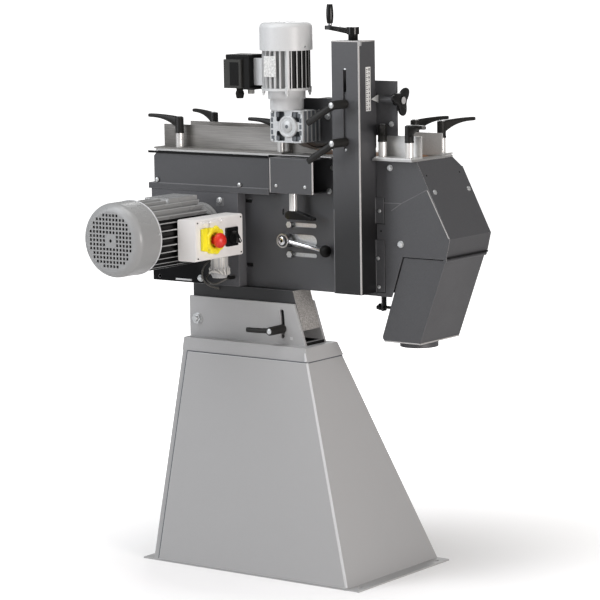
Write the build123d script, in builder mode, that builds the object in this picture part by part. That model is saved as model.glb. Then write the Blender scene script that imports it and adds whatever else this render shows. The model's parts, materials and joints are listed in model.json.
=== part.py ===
"""Long stroke belt sander: a floor-standing machine whose tilting head carries an
abrasive belt, a table with two pairs of fences and a powered feed wheel on a column.

Frame: millimetres, +X along the belt's travel, +Y away from the operator's motor side,
+Z up. The origin is on the floor at the centre of the pedestal's base.
"""

import os
from math import atan2, cos, hypot, radians, sin

from build123d import *

os.makedirs("parts", exist_ok=True)

# Pedestal and its feet
base_length = 650.0
base_depth = 430.0
neck_length = 400.0
neck_depth = 140.0
pedestal_height = 630.0
pedestal_wall = 4.0
foot_flange = 37.0
foot_thickness = 4.0
floor_hole_radius = 6.5
floor_hole_inset = 34.0
rim_height = 36.0
rim_lip = 2.5
panel_left_margin = 18.0
panel_right_margin = 1.0
panel_top_drop = 38.0
panel_floor_gap = 6.0
panel_thickness = 3.0
panel_lip = 14.0

# Tilt joint between pedestal and head
plate_thickness = 8.0
bracket_height = 108.0
bracket_left = 207.0
bracket_top_right = 142.0
bracket_bottom_right = 178.0
pivot_x = -180.0
pivot_rise = 48.0
pivot_radius = 8.0
pivot_head_radius = 14.0
pivot_head_height = 9.0
tilt_clamp_reach = 285.0
tilt_rest_angle = -1.4
tilt_down = 4.0
tilt_up = 9.0
carrier_wall = 5.0
carrier_depth = 76.0
carrier_left = 200.0
carrier_top_right = 133.0
carrier_bottom_right = 165.0
carrier_drop = 38.0
side_clearance = 1.0

# Head: depths of its main planes, from front to back
main_plate_front = -140.0
main_plate_thickness = 6.0
tray_depth = 33.0
column_depth = 72.0
casing_depth = 191.0
sheet = 3.0
head_lift = 142.0
head_height = 358.0
table_thickness = 5.0
head_left = -333.0
head_right = 383.0
tongue_reach = 50.0
tongue_shoulder = 60.0
tongue_drop = 40.0
peep_slot_x = 82.0
peep_slot_rise = 203.0
peep_slot_length = 10.0
peep_slot_width = 7.0
side_slot_x = -32.0
side_slot_high_rise = 229.0
side_slot_low_rise = 55.0
side_slot_length = 12.0
side_slot_width = 9.0

# Motor and its tray
motor_x = -169.0
motor_rise = 154.0
motor_frame_radius = 76.0
motor_fin_height = 17.0
motor_fin_count = 30
motor_fin_thickness = 3.2
motor_neck_radius = 60.0
motor_frame_length = 244.0
motor_bell_length = 54.0
motor_pad_width = 80.0
motor_pad_length = 120.0
motor_flange_radius = 66.0
motor_flange_thickness = 12.0
shaft_radius = 14.0
shaft_fit = 0.06
shaft_window = 34.0
fan_cover_radius = 97.0
fan_cover_length = 91.0
fan_cover_lap = 24.0
fan_cover_wall = 2.0
fan_cover_round = 22.0
grille_pitch = 11.0
grille_hole = 7.0
grille_field = 72.0
grille_centre_hole = 4.5
cover_lug_width = 12.0
cover_lug_depth = 8.0
cover_lug_length = 6.0
fan_gap = 6.0
fan_disc = 4.0
fan_depth = 34.0
fan_blades = 8
tray_left = -339.0
tray_right = -44.0
tray_top_rise = 250.0
tray_sheet = 4.0
tray_hole_x = 23.0
tray_hole_rise = 11.0
tray_hole_radius = 4.5

# Belt run
belt_width = 100.0
belt_thickness = 1.5
belt_proud = 1.0
belt_gap = 0.3
belt_centre_y = -60.0
drive_radius = 100.0
contact_radius = 100.0
contact_x = 430.0
roller_radius = 40.0
roller_x = -262.0
wheel_width = 104.0
wheel_web = 14.0
wheel_hub = 16.0
wheel_rim = 12.0
axle_radius = 10.0
axle_fit = 0.05
platen_left = -120.0
platen_right = 315.0
platen_thickness = 8.0
platen_leg = 20.0

# Belt tension slide, behind three slots of the main plate
slide_thickness = 6.0
slide_gap = 0.4
arm_end_radius = 20.0
axle_shoulder_radius = 16.0
arm_root_radius = 28.0
bolt_head_radius = 9.0
bolt_head_height = 6.0
tension_travel = 80.0
tension_bolt_x = 103.0
tension_hub_x = 92.0
tension_upper_rise = 171.0
tension_hub_rise = 129.0
tension_lower_rise = 92.0
tension_bolt_radius = 5.0
tension_hub_radius = 19.0
tension_hub_length = 20.0
tension_hub_slot = 34.0
tension_rod_radius = 6.0
tension_rod_length = 122.0
tension_rod_droop = 8.0
tension_rod_lean = 4.0
tension_knob_radius = 16.0
slot_clearance = 0.6

# Table, fences and their clamp levers
table_left = -322.0
infeed_front = -172.0
infeed_right = 262.0
outfeed_front = -165.0
outfeed_left = 386.0
outfeed_right = 508.0
table_rear = 48.0
belt_window_margin = 3.0
contact_window = 50.0
fence_thickness = 5.0
fence_height = 63.0
outfeed_fence_height = 57.0
fence_foot = 4.0
fence_front_y = -120.0
fence_rear_y = 0.0
fence_travel = 4.0
infeed_fence_left = -333.0
infeed_fence_right = 98.0
outfeed_fence_left = 392.0
outfeed_fence_right = 507.0
infeed_stud_left = -260.0
infeed_stud_right = 81.0
outfeed_stud_left = 404.0
outfeed_stud_right = 487.0
fence_stud_offset = 24.0
rear_shift = 13.0
fence_foot_width = 46.0
sleeve_radius = 10.5
sleeve_height = 38.0
box_sleeve_height = 48.0
running_gap = 0.3
skirt_left = -329.0
skirt_right = 60.0
skirt_corner = 14.0
rail_left = -347.0
rail_height = 16.0
box_left = 92.0
box_right = 231.0
box_bottom_below_table = 97.0
box_lever_x = 141.0

# Clamp levers
stud_radius = 6.0
stud_fit = 0.08
lever_hub_radius = 11.0
lever_hub_top_radius = 9.5
lever_hub_height = 44.0
lever_reach = 104.0
lever_lift = 6.0
lever_tip = 9.0
lever_width = 12.0
long_hub_height = 60.0
column_lever_reach = 88.0
tilt_lever_reach = 72.0
wing_reach = 70.0
wing_heel = 24.0
wing_height = 23.0
wing_tip = 6.0
wing_width = 20.0

# Column, scale, carriage and feed unit
column_left = 296.0
column_width = 85.0
column_bottom_rise = 10.0
column_top_above_table = 293.0
column_sheet = 4.0
column_slot_width = 10.4
column_slot_bottom_above_table = 20.0
column_slot_top_above_table = 232.0
column_slot_x = 336.0
column_stud_radius = 5.0
column_stud_depth = 20.0
column_lever_droop = 33.0
upper_lever_above_table = 141.0
lower_lever_above_table = 44.0
column_cap = 8.0
scale_width = 21.0
scale_shift = 3.5
scale_length = 112.0
scale_bottom_above_table = 122.0
scale_thickness = 0.8
pointer_thickness = 1.5
carriage_thickness = 6.0
carriage_setback = 9.0
carriage_left = 100.0
carriage_bottom_above_table = 31.0
carriage_shoulder_above_table = 147.0
carriage_wing_bottom_above_table = 57.0
carriage_wing_top_above_table = 197.0
carriage_right = 440.0
star_boss_radius = 9.0
star_boss_length = 40.0
star_boss_offset = 7.0
pointer_rise = 12.0
pointer_drop = 8.0
pointer_tip = 2.0
slider_clearance = 0.4
slider_bottom_above_table = 25.0
slider_top_above_table = 170.0
feed_axis_x = 158.0
worm_offset = 24.0
feed_axis_above_table = 78.0
feed_wheel_radius = 65.0
feed_wheel_width = 60.0
feed_wheel_rubber = 14.0
feed_wheel_chamfer = 4.0
feed_shaft_radius = 12.5
feed_shaft_fit = 0.05
feed_shaft_window = 16.5
gearbox_width = 104.0
gearbox_shift = 6.0
gearbox_height = 84.0
gearbox_depth = 56.0
gearbox_rear_gap = 28.0
gearbox_round = 8.0
gearbox_boss_radius = 24.0
gearbox_boss_height = 4.0
gearbox_boss_groove = 5.0
gearbox_neck_radius = 35.0
gearbox_pocket = 26.0
gearbox_pocket_pitch = 50.0
gearbox_pocket_depth = 12.0
gearbox_pocket_round = 4.0
gearbox_groove_width = 8.0
gearbox_groove_pitch = 16.0
gearbox_groove_length = 66.0
gearbox_groove_depth = 6.0
feed_motor_radius = 56.0
feed_motor_fin = 7.0
feed_motor_fin_count = 26
feed_motor_fin_thickness = 2.6
feed_motor_pad = 43.0
feed_bell_radius = 49.0
feed_neck_radius = 44.0
feed_neck_height = 28.0
feed_bell_height = 28.0
feed_body_height = 108.0
feed_cover_radius = 69.0
feed_cover_height = 72.0
feed_cover_lap = 10.0
feed_cover_round = 14.0
feed_vent_count = 12
feed_vent_circle = 29.0
feed_vent_length = 29.0
feed_vent_width = 6.0
terminal_width = 63.0
terminal_depth = 57.0
terminal_height = 83.0
terminal_round = 6.0
terminal_drop = 13.0
terminal_neck = 42.0
terminal_shift = 14.5
gland_pitch = 29.0
gland_inset = 5.5
gland_stagger = 15.0
gland_radius = 9.0
gland_length = 18.0
star_knob_radius = 41.0
star_lobe_radius = 7.0
star_rest_angle = 44.0
star_knob_hub = 14.0
star_knob_thickness = 11.0
star_knob_above_table = 149.0
star_bolt_radius = 5.0
star_bolt_depth = 20.0

# Crank and lead screw
crank_x = 339.0
screw_radius = 8.0
screw_fit = 0.1
screw_tail = 16.0
crank_collar_radius = 12.5
crank_collar_height = 15.0
crank_hub_radius = 16.0
crank_hub_height = 19.0
crank_reach = 72.0
crank_tip = 14.0
crank_tip_round = 8.0
crank_arm_root = 15.0
crank_arm_thickness = 11.0
crank_arm_rise = 3.0
grip_neck_radius = 5.5
grip_neck_height = 5.0
grip_radius = 9.5
grip_height = 49.0
grip_pin_radius = 4.0
grip_cap = 4.0
grip_foot_radius = 7.6
grip_top_radius = 7.1
grip_fit = 0.08

# Wheel cover, chute and rear door
cover_top_right = 508.0
cover_elbow_x = 607.0
cover_elbow_rise = 159.0
cover_corner = 24.0
cover_corner_drop = 26.0
cover_lip_x = 596.0
cover_lip_rise = 112.0
chute_seam = 2.5
chute_top_rise = 104.0
chute_bottom_drop = 116.0
chute_top_left = 464.0
chute_top_right = 592.0
chute_bottom_left = 391.0
chute_bottom_right = 511.0
chute_pin_x = 591.0
chute_pin_radius = 2.5
chute_pin_fit = 0.08
chute_ear = 4.6
chute_knuckle = 4.6
chute_round = 10.0
chute_side_gap = 0.5
chute_tab = 20.0
chute_screw_radius = 4.0
port_radius = 50.0
port_wall = 2.0
port_length = 18.0
port_margin = 0.5
chute_knob_drop = 32.0
chute_knob_y = -112.0
chute_knob_thickness = 12.0
chute_knob_hub = 9.0
chute_wing_radius = 5.4
chute_wing_reach = 10.5
door_gap = 0.4
hinge_radius = 7.0
hinge_pin_radius = 4.0
hinge_pin_fit = 0.08
hinge_knuckle = 40.0
hinge_inset = 60.0
hinge_offset = 7.5
door_margin = 4.0
handle_x = 370.0
handle_length = 90.0
handle_width = 18.0
handle_depth = 26.0
handle_gap = 16.0
handle_finger = 78.0

# Switch box on the motor's side
switch_right = -16.0
switch_front = -390.0
switch_standoff = 18.0
standoff_width = 26.0
standoff_height = 70.0
standoff_inset = 2.0
switch_bottom_rise = 90.0
switch_top_rise = 199.0
switch_round = 6.0
switch_lug_width = 8.0
switch_lug_root = 2.0
flap_hinge_drop = 6.0
flap_y = -322.0
flap_width = 84.0
flap_height = 86.0
flap_depth = 16.0
flap_wall = 2.5
flap_round = 14.0
flap_hinge_radius = 2.0
flap_hinge_fit = 0.08
flap_knuckle_radius = 4.0
estop_radius = 20.0
estop_stem_radius = 11.0
estop_travel = 5.0
estop_height = 26.0
selector_y = -242.0
selector_rise = 143.0
selector_plate = 50.0
selector_plate_thickness = 6.0
selector_radius = 17.0
selector_height = 20.0
selector_disc = 6.7
selector_bar_width = 10.0
selector_bar_length = 36.0
selector_rest_angle = 35.0
selector_plate_round = 4.0
selector_bar_round = 3.0
inlet_x = -40.0
inlet_y = -262.0
inlet_radius = 23.0
inlet_length = 55.0
inlet_taper = 10.0
inlet_mouth_radius = 18.5
inlet_bore = 16.5
inlet_bore_depth = 29.0
inlet_rib_count = 16
inlet_rib_width = 3.0
inlet_rib_height = 2.5
inlet_rib_length = 19.0
inlet_rib_drop = 26.0
lead_x = -62.0
lead_offset = 46.0
lead_radius = 5.0
lead_drop = 66.0
lead_bend = 34.0

# Heights that follow the pedestal and the table
head_bottom = pedestal_height + head_lift
table_top = head_bottom + head_height
peep_slot_z = head_bottom + peep_slot_rise
side_slot_high = head_bottom + side_slot_high_rise
side_slot_low = head_bottom + side_slot_low_rise
motor_z = head_bottom + motor_rise
tray_top = head_bottom + tray_top_rise
tension_upper_z = head_bottom + tension_upper_rise
tension_hub_z = head_bottom + tension_hub_rise
tension_lower_z = head_bottom + tension_lower_rise
column_bottom = head_bottom + column_bottom_rise
cover_elbow_z = head_bottom + cover_elbow_rise
cover_lip_z = head_bottom + cover_lip_rise
chute_top = head_bottom + chute_top_rise
chute_bottom = head_bottom - chute_bottom_drop
chute_knob_z = head_bottom - chute_knob_drop
switch_bottom = head_bottom + switch_bottom_rise
switch_top = head_bottom + switch_top_rise
selector_z = head_bottom + selector_rise
box_bottom = table_top - box_bottom_below_table
column_top = table_top + column_top_above_table
column_slot_bottom = table_top + column_slot_bottom_above_table
column_slot_top = table_top + column_slot_top_above_table
upper_lever_z = table_top + upper_lever_above_table
lower_lever_z = table_top + lower_lever_above_table
scale_bottom = table_top + scale_bottom_above_table
carriage_bottom = table_top + carriage_bottom_above_table
carriage_shoulder = table_top + carriage_shoulder_above_table
carriage_wing_bottom = table_top + carriage_wing_bottom_above_table
carriage_wing_top = table_top + carriage_wing_top_above_table
slider_bottom = table_top + slider_bottom_above_table
slider_top = table_top + slider_top_above_table
feed_axis_z = table_top + feed_axis_above_table
star_knob_z = table_top + star_knob_above_table

# Places that follow from the sizes above
front_y = -base_depth / 2
tray_front = main_plate_front - tray_depth
column_front = main_plate_front - column_depth
main_plate_rear = main_plate_front + main_plate_thickness
casing_rear = main_plate_front + casing_depth - sheet - door_gap
table_bottom = table_top - table_thickness
belt_top = table_top + belt_proud
contact_z = belt_top - belt_thickness - belt_gap - contact_radius
roller_z = belt_top - belt_thickness - belt_gap - roller_radius
pivot_z = pedestal_height + pivot_rise
column_right = column_left + column_width
column_middle_y = main_plate_front - column_depth / 2
scale_y = column_middle_y + scale_shift
carriage_front = main_plate_front + carriage_setback
carriage_rear = carriage_front + carriage_thickness
gearbox_rear = carriage_front - gearbox_rear_gap
gearbox_front = gearbox_rear - gearbox_depth
gearbox_middle_y = gearbox_rear - gearbox_depth / 2
gearbox_x = feed_axis_x - gearbox_shift
feed_motor_x = feed_axis_x - worm_offset
feed_motor_bottom = feed_axis_z + gearbox_height / 2
fence_front_stud_y = fence_front_y - fence_stud_offset
fence_rear_stud_y = fence_rear_y + fence_stud_offset
switch_left = motor_x + motor_frame_radius + motor_fin_height + running_gap
switch_rear = tray_front - switch_standoff
chute_lean = (chute_top_left - chute_bottom_left) / (chute_top - chute_bottom)
cover_panel_bottom = chute_top + chute_seam
cover_seam_x = chute_top_left - chute_seam * hypot(1, chute_lean)
cover_waist_x = cover_seam_x + chute_lean * chute_seam
cover_foot_x = cover_seam_x - chute_lean * chute_top_rise


def front_plane(y):
    """Upright plane that faces the operator at depth y: its x is X and its y is Z."""
    return Plane.XZ.offset(-y)


def side_plane(x):
    """Upright plane that faces +X: its x is Y and its y is Z."""
    return Plane.YZ.offset(x)


def save(block, label):
    block.part.label = label
    export_step(block.part, f"parts/{label}.step")


def front_width(z):
    """Half width of the pedestal's front face at height z."""
    return (base_length + (neck_length - base_length) * z / pedestal_height) / 2


def side_depth(z):
    """Depth of the pedestal, from its upright front to its sloping back, at height z."""
    return base_depth + (neck_depth - base_depth) * z / pedestal_height


# Pedestal: a folded, tapered box with an upright front wall, standing on two flanges;
# a band along the top of its sides and back stands a little proud
with BuildPart() as pedestal:
    with BuildSketch(Plane.XY):
        Rectangle(base_length, base_depth)
    with BuildSketch(Plane.XY.offset(pedestal_height)):
        with Locations((0, front_y + neck_depth / 2)):
            Rectangle(neck_length, neck_depth)
    loft()
    for z in (pedestal_height - rim_height, pedestal_height):
        rim_depth = side_depth(z) + rim_lip
        with BuildSketch(Plane.XY.offset(z)):
            with Locations((0, front_y + rim_depth / 2)):
                Rectangle(2 * (front_width(z) + rim_lip), rim_depth)
    loft()
    with BuildSketch(Plane.XY.offset(pedestal_wall)):
        Rectangle(base_length - 2 * pedestal_wall, base_depth - 2 * pedestal_wall)
    with BuildSketch(Plane.XY.offset(pedestal_height - pedestal_wall)):
        with Locations((0, front_y + neck_depth / 2)):
            Rectangle(neck_length - 2 * pedestal_wall, neck_depth - 2 * pedestal_wall)
    loft(mode=Mode.SUBTRACT)
    with BuildSketch(Plane.XY):
        for side in (-1, 1):
            with Locations((side * (base_length + foot_flange - pedestal_wall) / 2, 0)):
                Rectangle(foot_flange + pedestal_wall, base_depth)
        with GridLocations(base_length + foot_flange, base_depth - 2 * floor_hole_inset, 2, 2):
            Circle(floor_hole_radius, mode=Mode.SUBTRACT)
    extrude(amount=foot_thickness)


def panel_outline(inset):
    low = panel_floor_gap + inset
    high = pedestal_height - panel_top_drop - inset
    low_half = front_width(low) - inset
    high_half = front_width(high) - inset
    return [
        (panel_left_margin - low_half, low),
        (low_half - panel_right_margin, low),
        (high_half - panel_right_margin, high),
        (panel_left_margin - high_half, high),
    ]


with pedestal:
    with BuildSketch(front_plane(front_y)):
        with BuildLine():
            Polyline(*panel_outline(panel_lip), close=True)
        make_face()
    extrude(amount=-pedestal_wall, mode=Mode.SUBTRACT)
save(pedestal, "pedestal")

# Access panel that covers the opening in the pedestal's front wall
with BuildPart() as front_panel:
    with BuildSketch(front_plane(front_y)):
        with BuildLine():
            Polyline(*panel_outline(0), close=True)
        make_face()
    extrude(amount=panel_thickness)
save(front_panel, "front_panel")

# Tilt bracket: two cheek plates on a foot plate, with the tilt slot in the front cheek
cheek_front = tray_front - side_clearance
cheek_rear = tray_front + carrier_depth + side_clearance
bracket_top = pedestal_height + bracket_height
cheek_corners = [
    (-bracket_left, pedestal_height),
    (bracket_bottom_right, pedestal_height),
    (bracket_top_right, bracket_top),
    (-bracket_left, bracket_top),
]
tilt_arc = CenterArc(
    (pivot_x, pivot_z), tilt_clamp_reach, tilt_rest_angle - tilt_down, tilt_down + tilt_up
)
with BuildPart() as tilt_bracket:
    with BuildSketch(front_plane(cheek_front)):
        with BuildLine():
            Polyline(*cheek_corners, close=True)
        make_face()
        with Locations((pivot_x, pivot_z)):
            Circle(pivot_radius + stud_fit, mode=Mode.SUBTRACT)
        SlotArc(tilt_arc, 2 * (stud_radius + slot_clearance), mode=Mode.SUBTRACT)
    extrude(amount=plate_thickness)
    with BuildSketch(front_plane(cheek_rear)):
        with BuildLine():
            Polyline(*cheek_corners, close=True)
        make_face()
        with Locations((pivot_x, pivot_z)):
            Circle(pivot_radius + stud_fit, mode=Mode.SUBTRACT)
    extrude(amount=-plate_thickness)
    with BuildSketch(Plane.XY.offset(pedestal_height)):
        with Locations(((bracket_bottom_right - bracket_left) / 2, (cheek_front + cheek_rear) / 2)):
            Rectangle(bracket_bottom_right + bracket_left, cheek_rear - cheek_front)
    extrude(amount=plate_thickness)
save(tilt_bracket, "tilt_bracket")

# Pivot bolt through both cheeks, with a head in front and a nut behind
pivot_length = cheek_rear - cheek_front + 2 * plate_thickness
with BuildPart() as tilt_pivot_bolt:
    with BuildSketch(front_plane(cheek_rear + plate_thickness)):
        with Locations((pivot_x, pivot_z)):
            Circle(pivot_radius)
    extrude(amount=pivot_length)
    for y, direction in ((cheek_front - plate_thickness, 1), (cheek_rear + plate_thickness, -1)):
        with BuildSketch(front_plane(y)):
            with Locations((pivot_x, pivot_z)):
                RegularPolygon(pivot_head_radius, 6)
        extrude(amount=direction * pivot_head_height)
save(tilt_pivot_bolt, "tilt_pivot_bolt")

# Tilt carrier: the box under the head that hangs between the cheeks, open below
carrier_bottom = pedestal_height + carrier_drop
carrier_rear = tray_front + carrier_depth
clamp_x = pivot_x + tilt_clamp_reach * cos(radians(tilt_rest_angle))
clamp_z = pivot_z + tilt_clamp_reach * sin(radians(tilt_rest_angle))
with BuildPart() as tilt_carrier:
    with BuildSketch(front_plane(carrier_rear)):
        with BuildLine():
            Polyline(
                (-carrier_left, carrier_bottom),
                (carrier_bottom_right, carrier_bottom),
                (carrier_top_right, head_bottom),
                (-carrier_left, head_bottom),
                close=True,
            )
        make_face()
    extrude(amount=carrier_depth)
    with BuildSketch(front_plane(carrier_rear - carrier_wall)):
        with BuildLine():
            Polyline(
                (-carrier_left + carrier_wall, carrier_bottom),
                (carrier_bottom_right - carrier_wall, carrier_bottom),
                (carrier_top_right - carrier_wall, head_bottom - carrier_wall),
                (-carrier_left + carrier_wall, head_bottom - carrier_wall),
                close=True,
            )
        make_face()
    extrude(amount=carrier_depth - 2 * carrier_wall, mode=Mode.SUBTRACT)
    with BuildSketch(front_plane(carrier_rear)):
        with Locations((pivot_x, pivot_z)):
            Circle(pivot_radius + stud_fit)
    extrude(amount=carrier_depth, mode=Mode.SUBTRACT)
    with BuildSketch(front_plane(tray_front)):
        with Locations((clamp_x, clamp_z)):
            Circle(stud_radius + stud_fit)
    extrude(amount=-carrier_wall, mode=Mode.SUBTRACT)
save(tilt_carrier, "tilt_carrier")

# Main plate: the upright backbone that carries the motor tray, the column, the belt
# wheels and the table; three slots guide the tension slide behind it
tongue_right = contact_x + tongue_reach
slot_height = 2 * (tension_bolt_radius + slot_clearance)
with BuildPart() as main_plate:
    with BuildSketch(front_plane(main_plate_rear)):
        with BuildLine():
            Polyline(
                (head_left, head_bottom),
                (head_right, head_bottom),
                (head_right, contact_z - tongue_shoulder),
                (tongue_right, contact_z - tongue_drop),
                (tongue_right, contact_z + tongue_shoulder),
                (head_right, table_bottom),
                (head_left, table_bottom),
                close=True,
            )
        make_face()
        with Locations((motor_x, motor_z)):
            Circle(shaft_window, mode=Mode.SUBTRACT)
        for z in (tension_upper_z, tension_lower_z):
            with Locations((tension_bolt_x + tension_travel / 2, z)):
                SlotCenterToCenter(tension_travel, slot_height, mode=Mode.SUBTRACT)
        with Locations((tension_hub_x + tension_travel / 2, tension_hub_z)):
            SlotCenterToCenter(tension_travel, tension_hub_slot, mode=Mode.SUBTRACT)
        with Locations((peep_slot_x, peep_slot_z)):
            SlotCenterToCenter(peep_slot_length, peep_slot_width, rotation=90, mode=Mode.SUBTRACT)
        with Locations((side_slot_x, side_slot_high), (side_slot_x, side_slot_low)):
            SlotCenterToCenter(side_slot_length, side_slot_width, mode=Mode.SUBTRACT)
    extrude(amount=main_plate_thickness)
    with BuildSketch(front_plane(main_plate_rear)):
        with Locations((contact_x, contact_z)):
            Circle(axle_radius)
    extrude(amount=-(belt_centre_y + wheel_width / 2 - main_plate_rear))
    with BuildSketch(front_plane(main_plate_rear)):
        with Locations((contact_x, contact_z)):
            Circle(2 * axle_radius)
    extrude(amount=-(belt_centre_y - wheel_width / 2 - main_plate_rear - running_gap))
save(main_plate, "main_plate")

# Belt casing: floor and left end wall of the belt space, with the door's hinge pin
hinge_x = head_left - hinge_offset
hinge_y = casing_rear + door_gap + sheet
hinge_low = head_bottom + hinge_inset
hinge_high = table_bottom - hinge_inset - 2 * hinge_knuckle
with BuildPart() as belt_casing:
    with BuildSketch(front_plane(casing_rear)):
        with BuildLine():
            Polyline(
                (head_left, table_bottom),
                (head_left, head_bottom),
                (head_right, head_bottom),
                (head_right, head_bottom + sheet),
                (head_left + sheet, head_bottom + sheet),
                (head_left + sheet, table_bottom),
                close=True,
            )
        make_face()
    extrude(amount=casing_rear - main_plate_rear)
    for low in (hinge_low, hinge_high):
        with BuildSketch(Plane.XY.offset(low)):
            with Locations((hinge_x, hinge_y)):
                Circle(hinge_radius)
            with Locations((head_left + sheet / 2, casing_rear - hinge_radius)):
                Rectangle(sheet, 2 * hinge_radius)
            with Locations(((head_left + hinge_x) / 2, casing_rear - sheet / 2)):
                Rectangle(hinge_offset, sheet)
        extrude(amount=hinge_knuckle)
        with BuildSketch(Plane.XY.offset(low + hinge_knuckle)):
            with Locations((hinge_x, hinge_y)):
                Circle(hinge_pin_radius)
        extrude(amount=hinge_knuckle)
    with BuildSketch(side_plane(head_right)):
        with Locations((chute_knob_y, (chute_knob_z - chute_tab / 2 + head_bottom + sheet) / 2)):
            Rectangle(chute_tab, head_bottom + sheet - chute_knob_z + chute_tab / 2)
        with Locations((chute_knob_y, chute_knob_z)):
            Circle(chute_screw_radius + stud_fit, mode=Mode.SUBTRACT)
    extrude(amount=-sheet)
save(belt_casing, "belt_casing")

# Wheel cover: one folded sheet with a front panel, the slanted deflector and its lip
cover_front = main_plate_front - sheet
cover_slope = (cover_elbow_x - cover_top_right) / (table_bottom - cover_elbow_z)
cover_corner_x = cover_top_right + cover_slope * cover_corner_drop
cover_outer = [
    (cover_top_right, table_bottom),
    (cover_elbow_x, cover_elbow_z),
    (cover_lip_x, cover_lip_z),
]


def inward(points, distance):
    """Points of an open line moved to its right-hand side, with mitred corners."""
    moved = []
    for i, point in enumerate(points):
        normals = []
        for a, b in zip(points, points[1:]):
            if point in (a, b):
                length = hypot(b[0] - a[0], b[1] - a[1])
                normals.append(((b[1] - a[1]) / length, -(b[0] - a[0]) / length))
        nx = sum(n[0] for n in normals) / len(normals)
        nz = sum(n[1] for n in normals) / len(normals)
        scale = distance / (nx * nx + nz * nz)
        moved.append((point[0] + nx * scale, point[1] + nz * scale))
    return moved


with BuildPart() as deflector_cover:
    with BuildSketch(front_plane(main_plate_front)):
        with BuildLine():
            Polyline(
                (head_right, table_bottom),
                *cover_outer,
                (cover_lip_x, cover_panel_bottom),
                (cover_waist_x, cover_panel_bottom),
                (cover_foot_x, head_bottom),
                (head_right, head_bottom),
                close=True,
            )
        make_face()
    extrude(amount=sheet)
    with BuildSketch(front_plane(casing_rear)):
        with BuildLine():
            Polyline(*cover_outer, *reversed(inward(cover_outer, sheet)), close=True)
        make_face()
    extrude(amount=casing_rear - main_plate_front)
    for y in (main_plate_front, casing_rear):
        with BuildSketch(front_plane(y)):
            with Locations((chute_pin_x, chute_top)):
                Circle(chute_ear)
            with Locations(((chute_pin_x - sheet + cover_lip_x) / 2, (chute_top + cover_lip_z) / 2 + sheet)):
                Rectangle(cover_lip_x - chute_pin_x + sheet, cover_lip_z - chute_top + 2 * sheet)
        extrude(amount=sheet)
    with BuildSketch(front_plane(casing_rear)):
        with Locations((chute_pin_x, chute_top)):
            Circle(chute_pin_radius)
    extrude(amount=casing_rear - main_plate_front)
    with BuildSketch(side_plane(head_right)):
        with BuildLine():
            Polyline(
                (casing_rear, table_bottom),
                (casing_rear - cover_corner, table_bottom),
                (casing_rear, table_bottom - cover_corner_drop),
                close=True,
            )
        make_face()
    extrude(amount=cover_elbow_x - head_right, mode=Mode.SUBTRACT)
save(deflector_cover, "deflector_cover")

# Rear door: covers the belt's open side, hinged at the left end
door_front = casing_rear + door_gap
with BuildPart() as rear_door:
    with BuildSketch(front_plane(door_front)):
        with BuildLine():
            Polyline(
                (head_left, head_bottom),
                (head_right, head_bottom),
                (cover_foot_x, head_bottom),
                (cover_waist_x, cover_panel_bottom),
                (cover_lip_x, cover_panel_bottom),
                (cover_lip_x, cover_lip_z),
                (cover_elbow_x, cover_elbow_z),
                (cover_corner_x, table_bottom - cover_corner_drop),
                (head_right, table_bottom - door_margin),
                (head_left, table_bottom - door_margin),
                close=True,
            )
        make_face()
    extrude(amount=-sheet)
    for low in (hinge_low, hinge_high):
        with BuildSketch(Plane.XY.offset(low + hinge_knuckle + running_gap)):
            with Locations((hinge_x, hinge_y)):
                Circle(hinge_radius)
            with Locations(((hinge_x + head_left) / 2, hinge_y - sheet / 2)):
                Rectangle(hinge_offset, sheet)
            with Locations((hinge_x, hinge_y)):
                Circle(hinge_pin_radius + hinge_pin_fit, mode=Mode.SUBTRACT)
        extrude(amount=hinge_knuckle - running_gap)
        with BuildSketch(front_plane(door_front)):
            with Locations((head_left, low + hinge_knuckle / 2)):
                Rectangle(2 * hinge_radius, hinge_knuckle + 2 * running_gap)
        extrude(amount=-sheet, mode=Mode.SUBTRACT)
    with BuildSketch(front_plane(door_front + sheet)):
        with Locations((handle_x, (head_bottom + table_bottom) / 2)):
            SlotCenterToCenter(handle_length, handle_width, rotation=90)
    extrude(amount=-handle_depth)
    with BuildSketch(side_plane(handle_x)):
        with Locations((door_front + sheet + handle_gap / 2, (head_bottom + table_bottom) / 2)):
            Rectangle(handle_gap, handle_finger)
    extrude(amount=handle_width, both=True, mode=Mode.SUBTRACT)
save(rear_door, "rear_door")

# Motor tray: a folded sheet that stands off the main plate and carries the motor, with a
# stand-off block for the switch box
with BuildPart() as motor_bracket:
    with BuildSketch(front_plane(main_plate_front)):
        with Locations(((tray_left + tray_right) / 2, (head_bottom + tray_top) / 2)):
            Rectangle(tray_right - tray_left, tray_top - head_bottom)
    extrude(amount=tray_depth)
    with BuildSketch(front_plane(main_plate_front)):
        with Locations(((tray_left + tray_right) / 2, (head_bottom + tray_top) / 2)):
            Rectangle(tray_right - tray_left - 2 * tray_sheet, tray_top - head_bottom - 2 * tray_sheet)
    extrude(amount=tray_depth - tray_sheet, mode=Mode.SUBTRACT)
    with BuildSketch(front_plane(tray_front)):
        with Locations((motor_x, motor_z)):
            Circle(shaft_window)
        with Locations((tray_left + tray_hole_x, head_bottom + tray_hole_rise)):
            Circle(tray_hole_radius)
    extrude(amount=-tray_sheet, mode=Mode.SUBTRACT)
    with BuildSketch(front_plane(tray_front)):
        with Locations((tray_right - standoff_inset - standoff_width / 2, (switch_bottom + switch_top) / 2)):
            Rectangle(standoff_width, standoff_height)
    extrude(amount=switch_standoff)
save(motor_bracket, "motor_bracket")

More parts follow.
